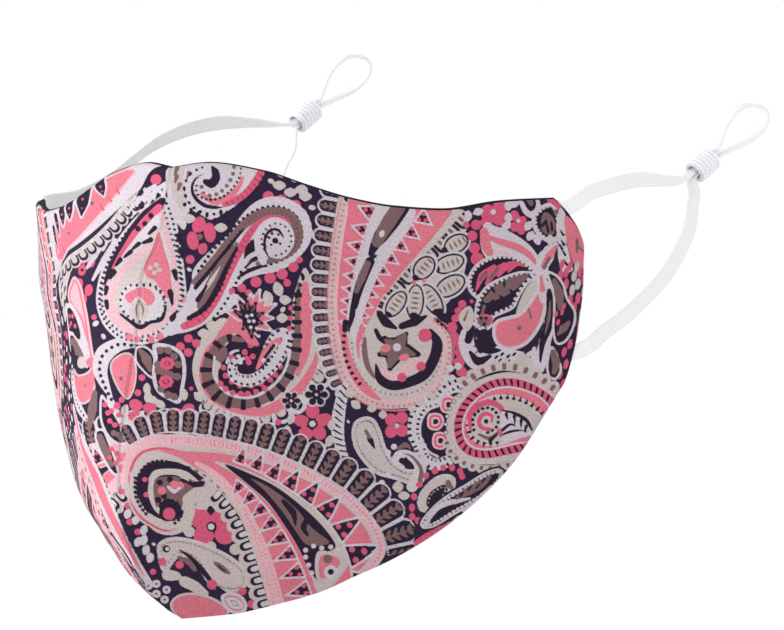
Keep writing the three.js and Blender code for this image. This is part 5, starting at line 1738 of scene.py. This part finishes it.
def make_shell_half(side_name, material, chart):
    """One printed half of the outer cloth, with its edge rolled inward."""
    side = 1 if side_name == "left" else -1
    sheet = half_sheet(SHELL_COLUMNS, SHELL_ROWS)
    roll = HEM_SINK * (1 - smooth_share(edge_distance(sheet), 0.0, HEM_WIDTH)) ** 2
    outer = sunk(sheet, roll)
    inner = sunk(sheet, OUTER_CLOTH * HEM_SHARE)
    rows, columns = outer.shape[:2]
    vertices = [outer.reshape(-1, 3)]
    faces = [grid_faces(rows, columns, flip=side < 0)]
    index = np.arange(rows * columns).reshape(rows, columns)
    border = np.concatenate([index[0, ::1], index[1:, -1], index[-1, -2::-1]])
    rim = inner.reshape(-1, 3)[border]
    start = rows * columns
    vertices.append(rim)
    ring = np.arange(len(border) - 1)
    hem = np.stack([border[ring], border[ring + 1], start + ring + 1, start + ring], 1)
    faces.append(hem[:, ::-1] if side < 0 else hem)
    points = np.vstack(vertices) * np.array([side, 1, 1])
    made = make_object("printed_cloth_" + side_name, points, np.vstack(faces), material)
    add_print(made, sheet, side, border, chart)
    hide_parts("printed_shell")
    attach(made, "root")
    return made


def print_places(sheet, side):
    """Where each point lies on the print: across and down, in millimetres from the nose."""
    points = sheet["points"]
    turn = math.radians(PRINT_TURN)
    across = side * points[..., 0] * math.cos(turn) + points[..., 1] * math.sin(turn)
    if side < 0:
        steps = np.diff(sheet["arc"], axis=1)
        shares = -np.diff(across, axis=1) / steps
        edge = np.argmax(shares < PRINT_CLOSEST, axis=1)
        edge = np.where((shares < PRINT_CLOSEST).any(axis=1), edge, shares.shape[1] - 1)
        past = sheet["arc"][:, 1:] - np.take_along_axis(sheet["arc"], edge[:, None], 1)
        beyond = PRINT_CLOSEST + (PRINT_FARTHEST - PRINT_CLOSEST) * smooth_share(past, 0.0, PRINT_EASE)
        shares = np.where(past > 0, np.maximum(shares, beyond), np.maximum(shares, PRINT_CLOSEST))
        across[:, 1:] = across[:, :1] - np.cumsum(shares * steps, axis=1)
    return across, -points[..., 2]


def add_print(made, sheet, side, border, chart):
    """How far inside each ink every point of the cloth lies, and its place on the cloth."""
    across, down = print_places(sheet, side)
    values = {name: read_chart(chart, name, across, down) for name in INKS}
    values.update(seam=sheet["arc"], across=side * sheet["arc"], down=down)
    for name, grid in values.items():
        flat = grid.ravel()
        add_values(made, name, np.concatenate([flat, flat[border]]))


def make_lining(material):
    """The inner cloth, closed round its edge, which stands a little proud of the outer cloth."""
    halves = []
    sheet = half_sheet(LINING_COLUMNS, LINING_ROWS)
    near = OUTER_CLOTH + LAYER_GAP * 0.3
    far = OUTER_CLOTH + LAYER_GAP + LINING_CLOTH
    steps = np.linspace(0, math.pi, 7)
    depths = near + (far - near) * (1 - np.cos(steps)) / 2
    shows = LINING_SHOWS * np.sin(steps)
    for side in (-1, 1):
        layers = [sunk(sheet, d) * np.array([side, 1, 1]) for d in depths]
        halves.append((side, layers))
    rows, columns = halves[0][1][0].shape[:2]
    width = 2 * columns - 1
    stack = []
    for k in range(len(depths)):
        wide = np.concatenate([halves[0][1][k][:, ::-1], halves[1][1][k][:, 1:]], axis=1)
        let_out = np.zeros_like(wide)
        drop = np.concatenate([(sheet["drop"] * [-1, 1, 1])[:, ::-1], sheet["drop"][:, 1:]], axis=1)
        along = np.concatenate([(sheet["along"] * [-1, 1, 1])[:, ::-1], sheet["along"][:, 1:]], axis=1)
        drop[:, columns - 1, 0] = 0
        let_out[0] -= drop[0]
        let_out[-1] += drop[-1]
        let_out[:, 0] += along[:, 0]
        let_out[:, -1] += along[:, -1]
        stack.append(wide + let_out * shows[k])
    index = np.arange(rows * width).reshape(rows, width)
    border = np.concatenate([index[0, :-1], index[:-1, -1], index[-1, :0:-1], index[:0:-1, 0]])
    vertices = [stack[0].reshape(-1, 3), stack[-1].reshape(-1, 3)]
    faces = [grid_faces(rows, width), grid_faces(rows, width, flip=True, start=rows * width)]
    rings = [border]
    start = 2 * rows * width
    for layer in stack[1:-1]:
        vertices.append(layer.reshape(-1, 3)[border])
        rings.append(start + np.arange(len(border)))
        start += len(border)
    rings.append(rows * width + border)
    for a, b in zip(rings[:-1], rings[1:]):
        faces.append(np.stack([a, np.roll(a, -1), np.roll(b, -1), b], 1))
    made = make_object("dark_lining", np.vstack(vertices), np.vstack(faces), material)
    arc = np.concatenate([-sheet["arc"][:, ::-1], sheet["arc"][:, 1:]], axis=1).ravel()
    drop = np.concatenate([-sheet["points"][:, ::-1, 2], -sheet["points"][:, 1:, 2]], axis=1).ravel()
    for name, flat in (("across", arc), ("down", drop)):
        add_values(made, name, np.concatenate([flat, flat] + [flat[border]] * len(stack[1:-1])))
    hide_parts("lining")
    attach(made, "root")
    return made


# Materials


def node_group(name, inputs, outputs):
    """An empty group of shader nodes with named sockets, and its own input and output nodes."""
    group = bpy.data.node_groups.new(name, "ShaderNodeTree")
    for label, kind, value in inputs:
        socket = group.interface.new_socket(label, in_out="INPUT", socket_type=kind)
        if value is not None:
            socket.default_value = value
    for label, kind in outputs:
        group.interface.new_socket(label, in_out="OUTPUT", socket_type=kind)
    return group, group.nodes.new("NodeGroupInput"), group.nodes.new("NodeGroupOutput")


class Wiring:
    """Short ways to add nodes to a tree and join them."""

    def __init__(self, tree):
        self.nodes, self.links = tree.nodes, tree.links

    def join(self, value, socket):
        if isinstance(value, bpy.types.NodeSocket):
            self.links.new(value, socket)
        else:
            socket.default_value = value

    def math(self, operation, *values, clamp=False):
        node = self.nodes.new("ShaderNodeMath")
        node.operation = operation
        node.use_clamp = clamp
        for value, socket in zip(values, node.inputs):
            self.join(value, socket)
        return node.outputs[0]

    def attribute(self, name):
        node = self.nodes.new("ShaderNodeAttribute")
        node.attribute_name = name
        return node.outputs["Fac"]

    def ramp(self, value, low, high, to_low=0.0, to_high=1.0):
        node = self.nodes.new("ShaderNodeMapRange")
        node.interpolation_type = "SMOOTHSTEP"
        for socket, number in zip(node.inputs, (value, low, high, to_low, to_high)):
            self.join(number, socket)
        return node.outputs["Result"]

    def mix(self, share, first, second, blend="MIX"):
        node = self.nodes.new("ShaderNodeMix")
        node.data_type = "RGBA"
        node.blend_type = blend
        self.join(share, node.inputs["Factor"])
        self.join(first, node.inputs[6])
        self.join(second, node.inputs[7])
        return node.outputs[2]

    def noise(self, place, scale, detail=2.0):
        node = self.nodes.new("ShaderNodeTexNoise")
        self.join(place, node.inputs["Vector"])
        node.inputs["Scale"].default_value = scale
        node.inputs["Detail"].default_value = detail
        return node.outputs["Fac"]

    def place(self, across, down):
        node = self.nodes.new("ShaderNodeCombineXYZ")
        self.join(across, node.inputs["X"])
        self.join(down, node.inputs["Y"])
        return node.outputs["Vector"]

    def group(self, group, **values):
        node = self.nodes.new("ShaderNodeGroup")
        node.node_tree = group
        for label, value in values.items():
            self.join(value, node.inputs[label])
        return node

    def bump(self, height, distance, strength=1.0):
        node = self.nodes.new("ShaderNodeBump")
        node.inputs["Strength"].default_value = strength
        node.inputs["Distance"].default_value = distance
        self.join(height, node.inputs["Height"])
        return node.outputs["Normal"]


def make_weave():
    """Plain weave: threads that cross over and under, with slubs. Places and spacing are in millimetres."""
    group, given, result = node_group(
        "plain_weave",
        [("Place", "NodeSocketVector", None), ("Spacing", "NodeSocketFloat", 0.35)],
        [("Height", "NodeSocketFloat"), ("Tone", "NodeSocketFloat")])
    wiring = Wiring(group)
    split = group.nodes.new("ShaderNodeSeparateXYZ")
    group.links.new(given.outputs["Place"], split.inputs[0])
    waves = []
    for axis in (0, 1):
        turns = wiring.math("DIVIDE", split.outputs[axis], given.outputs["Spacing"])
        waves.append(wiring.math("SINE", wiring.math("MULTIPLY", turns, math.pi)))
    over = wiring.math("GREATER_THAN", wiring.math("MULTIPLY", *waves), 0.0)
    warp = wiring.math("MULTIPLY", wiring.math("ABSOLUTE", waves[0]), over)
    weft = wiring.math("MULTIPLY", wiring.math("ABSOLUTE", waves[1]), wiring.math("SUBTRACT", 1.0, over))
    height = wiring.math("ADD", warp, weft)
    slubs = wiring.noise(given.outputs["Place"], 1.7, 4.0)
    uneven = wiring.math("MULTIPLY", height, wiring.math("ADD", slubs, 0.5))
    group.links.new(uneven, result.inputs["Height"])
    tone = wiring.math("ADD", wiring.math("MULTIPLY", height, 0.35), wiring.math("MULTIPLY", slubs, 0.65))
    group.links.new(tone, result.inputs["Tone"])
    return group


def make_worn():
    """Soft blotches and fine flecks, as cloth has after some washes. Places are in millimetres."""
    group, given, result = node_group(
        "washed_wear", [("Place", "NodeSocketVector", None)],
        [("Blotches", "NodeSocketFloat"), ("Flecks", "NodeSocketFloat")])
    wiring = Wiring(group)
    group.links.new(wiring.noise(given.outputs["Place"], 0.09, 3.0), result.inputs["Blotches"])
    flecks = wiring.noise(given.outputs["Place"], 1.3, 5.0)
    group.links.new(wiring.ramp(flecks, 0.5, 0.68), result.inputs["Flecks"])
    return group


def new_material(name, roughness, sheen=0.0, gloss=0.5):
    """A material, its shader and the wiring of its nodes."""
    material = bpy.data.materials.new(name)
    material.use_nodes = True
    shader = material.node_tree.nodes["Principled BSDF"]
    shader.inputs["Roughness"].default_value = roughness
    shader.inputs["Sheen Weight"].default_value = sheen
    shader.inputs["Specular IOR Level"].default_value = gloss
    return material, shader, Wiring(material.node_tree)


def linear(red, green, blue):
    """A shader colour from a printed one of 0 to 255."""
    parts = [c / 255 for c in (red, green, blue)]
    return tuple(c / 12.92 if c <= 0.04045 else ((c + 0.055) / 1.055) ** 2.4 for c in parts) + (1.0,)


GROUND_COLOR = (38, 25, 50)
INK_COLORS = {
    "cream": (208, 195, 191), "blush": (235, 186, 193), "salmon": (232, 125, 141), "rose": (224, 93, 125),
    "taupe": (132, 101, 99), "ink": (34, 20, 38), "chalk": (216, 206, 213),
}
INK_EDGE = 0.11
ELASTIC_RIBS = 3.5
STITCH_ROWS = 5.2
STITCH_SHIFT = 0.9
THREAD_SPACING = 0.34
THREAD_SHADE = (0.05, 0.04, 0.08, 1.0)
FADE_TINT = (0.8, 0.76, 0.82, 1.0)
SEAM_SHADE = (0.03, 0.02, 0.04, 1.0)


def printed_cloth(weave, worn):
    """Cotton with the print in seven inks, whose edges follow the threads."""
    material, shader, wiring = new_material("printed_cloth", 0.9, gloss=0.1)
    place = wiring.place(wiring.attribute("across"), wiring.attribute("down"))
    threads = wiring.group(weave, Place=place, Spacing=THREAD_SPACING)
    wear = wiring.group(worn, Place=place)
    ragged = wiring.math("MULTIPLY", wiring.math("SUBTRACT", threads.outputs["Tone"], 0.5), 0.16)
    color = linear(*GROUND_COLOR)
    for name, ink in INK_COLORS.items():
        share = wiring.ramp(wiring.math("ADD", wiring.attribute(name), ragged), -INK_EDGE, INK_EDGE)
        if name in ("salmon", "rose", "taupe"):
            darker = tuple(0.72 * c for c in linear(*ink)[:3]) + (1.0,)
            inked = wiring.mix(wiring.math("MULTIPLY", wear.outputs["Flecks"], 0.55), linear(*ink), darker)
        else:
            inked = linear(*ink)
        color = wiring.mix(share, color, inked)
    # Darker where the weave's tone is low: painted shade where the threads dip, mixed with the uneven tone
    # of the slubs.
    between = wiring.ramp(threads.outputs["Tone"], 0.72, 0.3, 0.0, 0.5)
    color = wiring.mix(between, color, THREAD_SHADE)
    faded = wiring.ramp(wear.outputs["Blotches"], 0.35, 0.75, 0.0, 0.25)
    color = wiring.mix(faded, color, FADE_TINT, "MULTIPLY")
    seam = wiring.attribute("seam")
    # Painted shade: the cloth is darkened within 0.7 mm of the centre seam, where its groove lies.
    color = wiring.mix(wiring.ramp(seam, 0.7, 0.1, 0.0, 0.2), color, SEAM_SHADE)
    wiring.join(color, shader.inputs["Base Color"])
    groove = wiring.ramp(seam, 0.0, 1.3, 0.0, 0.5)
    height = wiring.math("ADD", groove, wiring.math("MULTIPLY", threads.outputs["Height"], 0.06))
    wiring.join(wiring.bump(height, 0.001), shader.inputs["Normal"])
    return material


def lining_cloth(weave, worn):
    """Plain near-black cotton."""
    material, shader, wiring = new_material("lining_cloth", 0.9, gloss=0.15)
    place = wiring.place(wiring.attribute("across"), wiring.attribute("down"))
    threads = wiring.group(weave, Place=place, Spacing=THREAD_SPACING)
    wear = wiring.group(worn, Place=place)
    # Raised threads lighter, low ones darker: partly painted shade where the threads dip, partly the slubs'
    # uneven tone.
    raised = wiring.ramp(threads.outputs["Tone"], 0.25, 0.8)
    color = wiring.mix(raised, linear(20, 18, 23), linear(40, 36, 44))
    color = wiring.mix(wiring.math("MULTIPLY", wear.outputs["Blotches"], 0.18), color, linear(60, 56, 64))
    wiring.join(color, shader.inputs["Base Color"])
    wiring.join(wiring.bump(wiring.math("MULTIPLY", threads.outputs["Height"], 0.08), 0.001),
                shader.inputs["Normal"])
    return material


def knitted_elastic(worn):
    """White elastic: ribs along the strap, with rows of small stitches across them."""
    material, shader, wiring = new_material("white_elastic", 0.82, 0.2)
    along, across = wiring.attribute("along"), wiring.attribute("across")
    ribbing = wiring.math("MULTIPLY", across, ELASTIC_RIBS * math.pi)
    ribs = wiring.math("ABSOLUTE", wiring.math("SINE", ribbing))
    rising = wiring.math("MULTIPLY", along, STITCH_ROWS)
    turns = wiring.math("ADD", rising, wiring.math("MULTIPLY", ribs, STITCH_SHIFT))
    rows = wiring.math("ABSOLUTE", wiring.math("SINE", turns))
    stitches = wiring.math("MULTIPLY", ribs, wiring.math("ADD", wiring.math("MULTIPLY", rows, 0.5), 0.5))
    wear = wiring.group(worn, Place=wiring.place(wiring.math("MULTIPLY", across, 2.3), along))
    # Lighter on the stitches and ribs, darker between them: painted shade in the knit's grooves.
    color = wiring.mix(wiring.ramp(stitches, 0.0, 0.7), linear(228, 228, 227), linear(241, 241, 240))
    color = wiring.mix(wiring.math("MULTIPLY", wear.outputs["Blotches"], 0.12), color, linear(226, 225, 224))
    wiring.join(color, shader.inputs["Base Color"])
    wiring.join(wiring.bump(wiring.math("MULTIPLY", stitches, 0.05), 0.001), shader.inputs["Normal"])
    return material


def soft_silicone(worn):
    """Lilac-white silicone with a satin face and faint handling marks."""
    material, shader, wiring = new_material("soft_bead", 0.42)
    shader.inputs["Subsurface Weight"].default_value = 0.12
    shader.inputs["Subsurface Radius"].default_value = (0.002, 0.0018, 0.002)
    shader.inputs["Subsurface Scale"].default_value = 1.0
    place = wiring.place(wiring.attribute("round"), wiring.attribute("length"))
    wear = wiring.group(worn, Place=place)
    rib = wiring.attribute("rib")
    # Lighter on the ribs' crests, darker in the grooves and the hole: painted shade.
    color = wiring.mix(rib, linear(216, 213, 221), linear(240, 238, 245))
    color = wiring.mix(wiring.math("MULTIPLY", wear.outputs["Blotches"], 0.15), color, linear(215, 210, 226))
    wiring.join(color, shader.inputs["Base Color"])
    wiring.join(wiring.ramp(wear.outputs["Flecks"], 0.0, 1.0, 0.38, 0.5), shader.inputs["Roughness"])
    wiring.join(wiring.bump(wiring.math("MULTIPLY", wear.outputs["Flecks"], 0.02), 0.001),
                shader.inputs["Normal"])
    return material


make_camera()
make_studio()
chart = Chart()
draw_print(chart)
weave, worn = make_weave(), make_worn()
printed, dark = printed_cloth(weave, worn), lining_cloth(weave, worn)
elastic, silicone = knitted_elastic(worn), soft_silicone(worn)
for side_name in LOOPS:
    make_shell_half(side_name, printed, chart)
    make_strap(side_name, elastic)
    make_bead(side_name, silicone)
make_lining(dark)
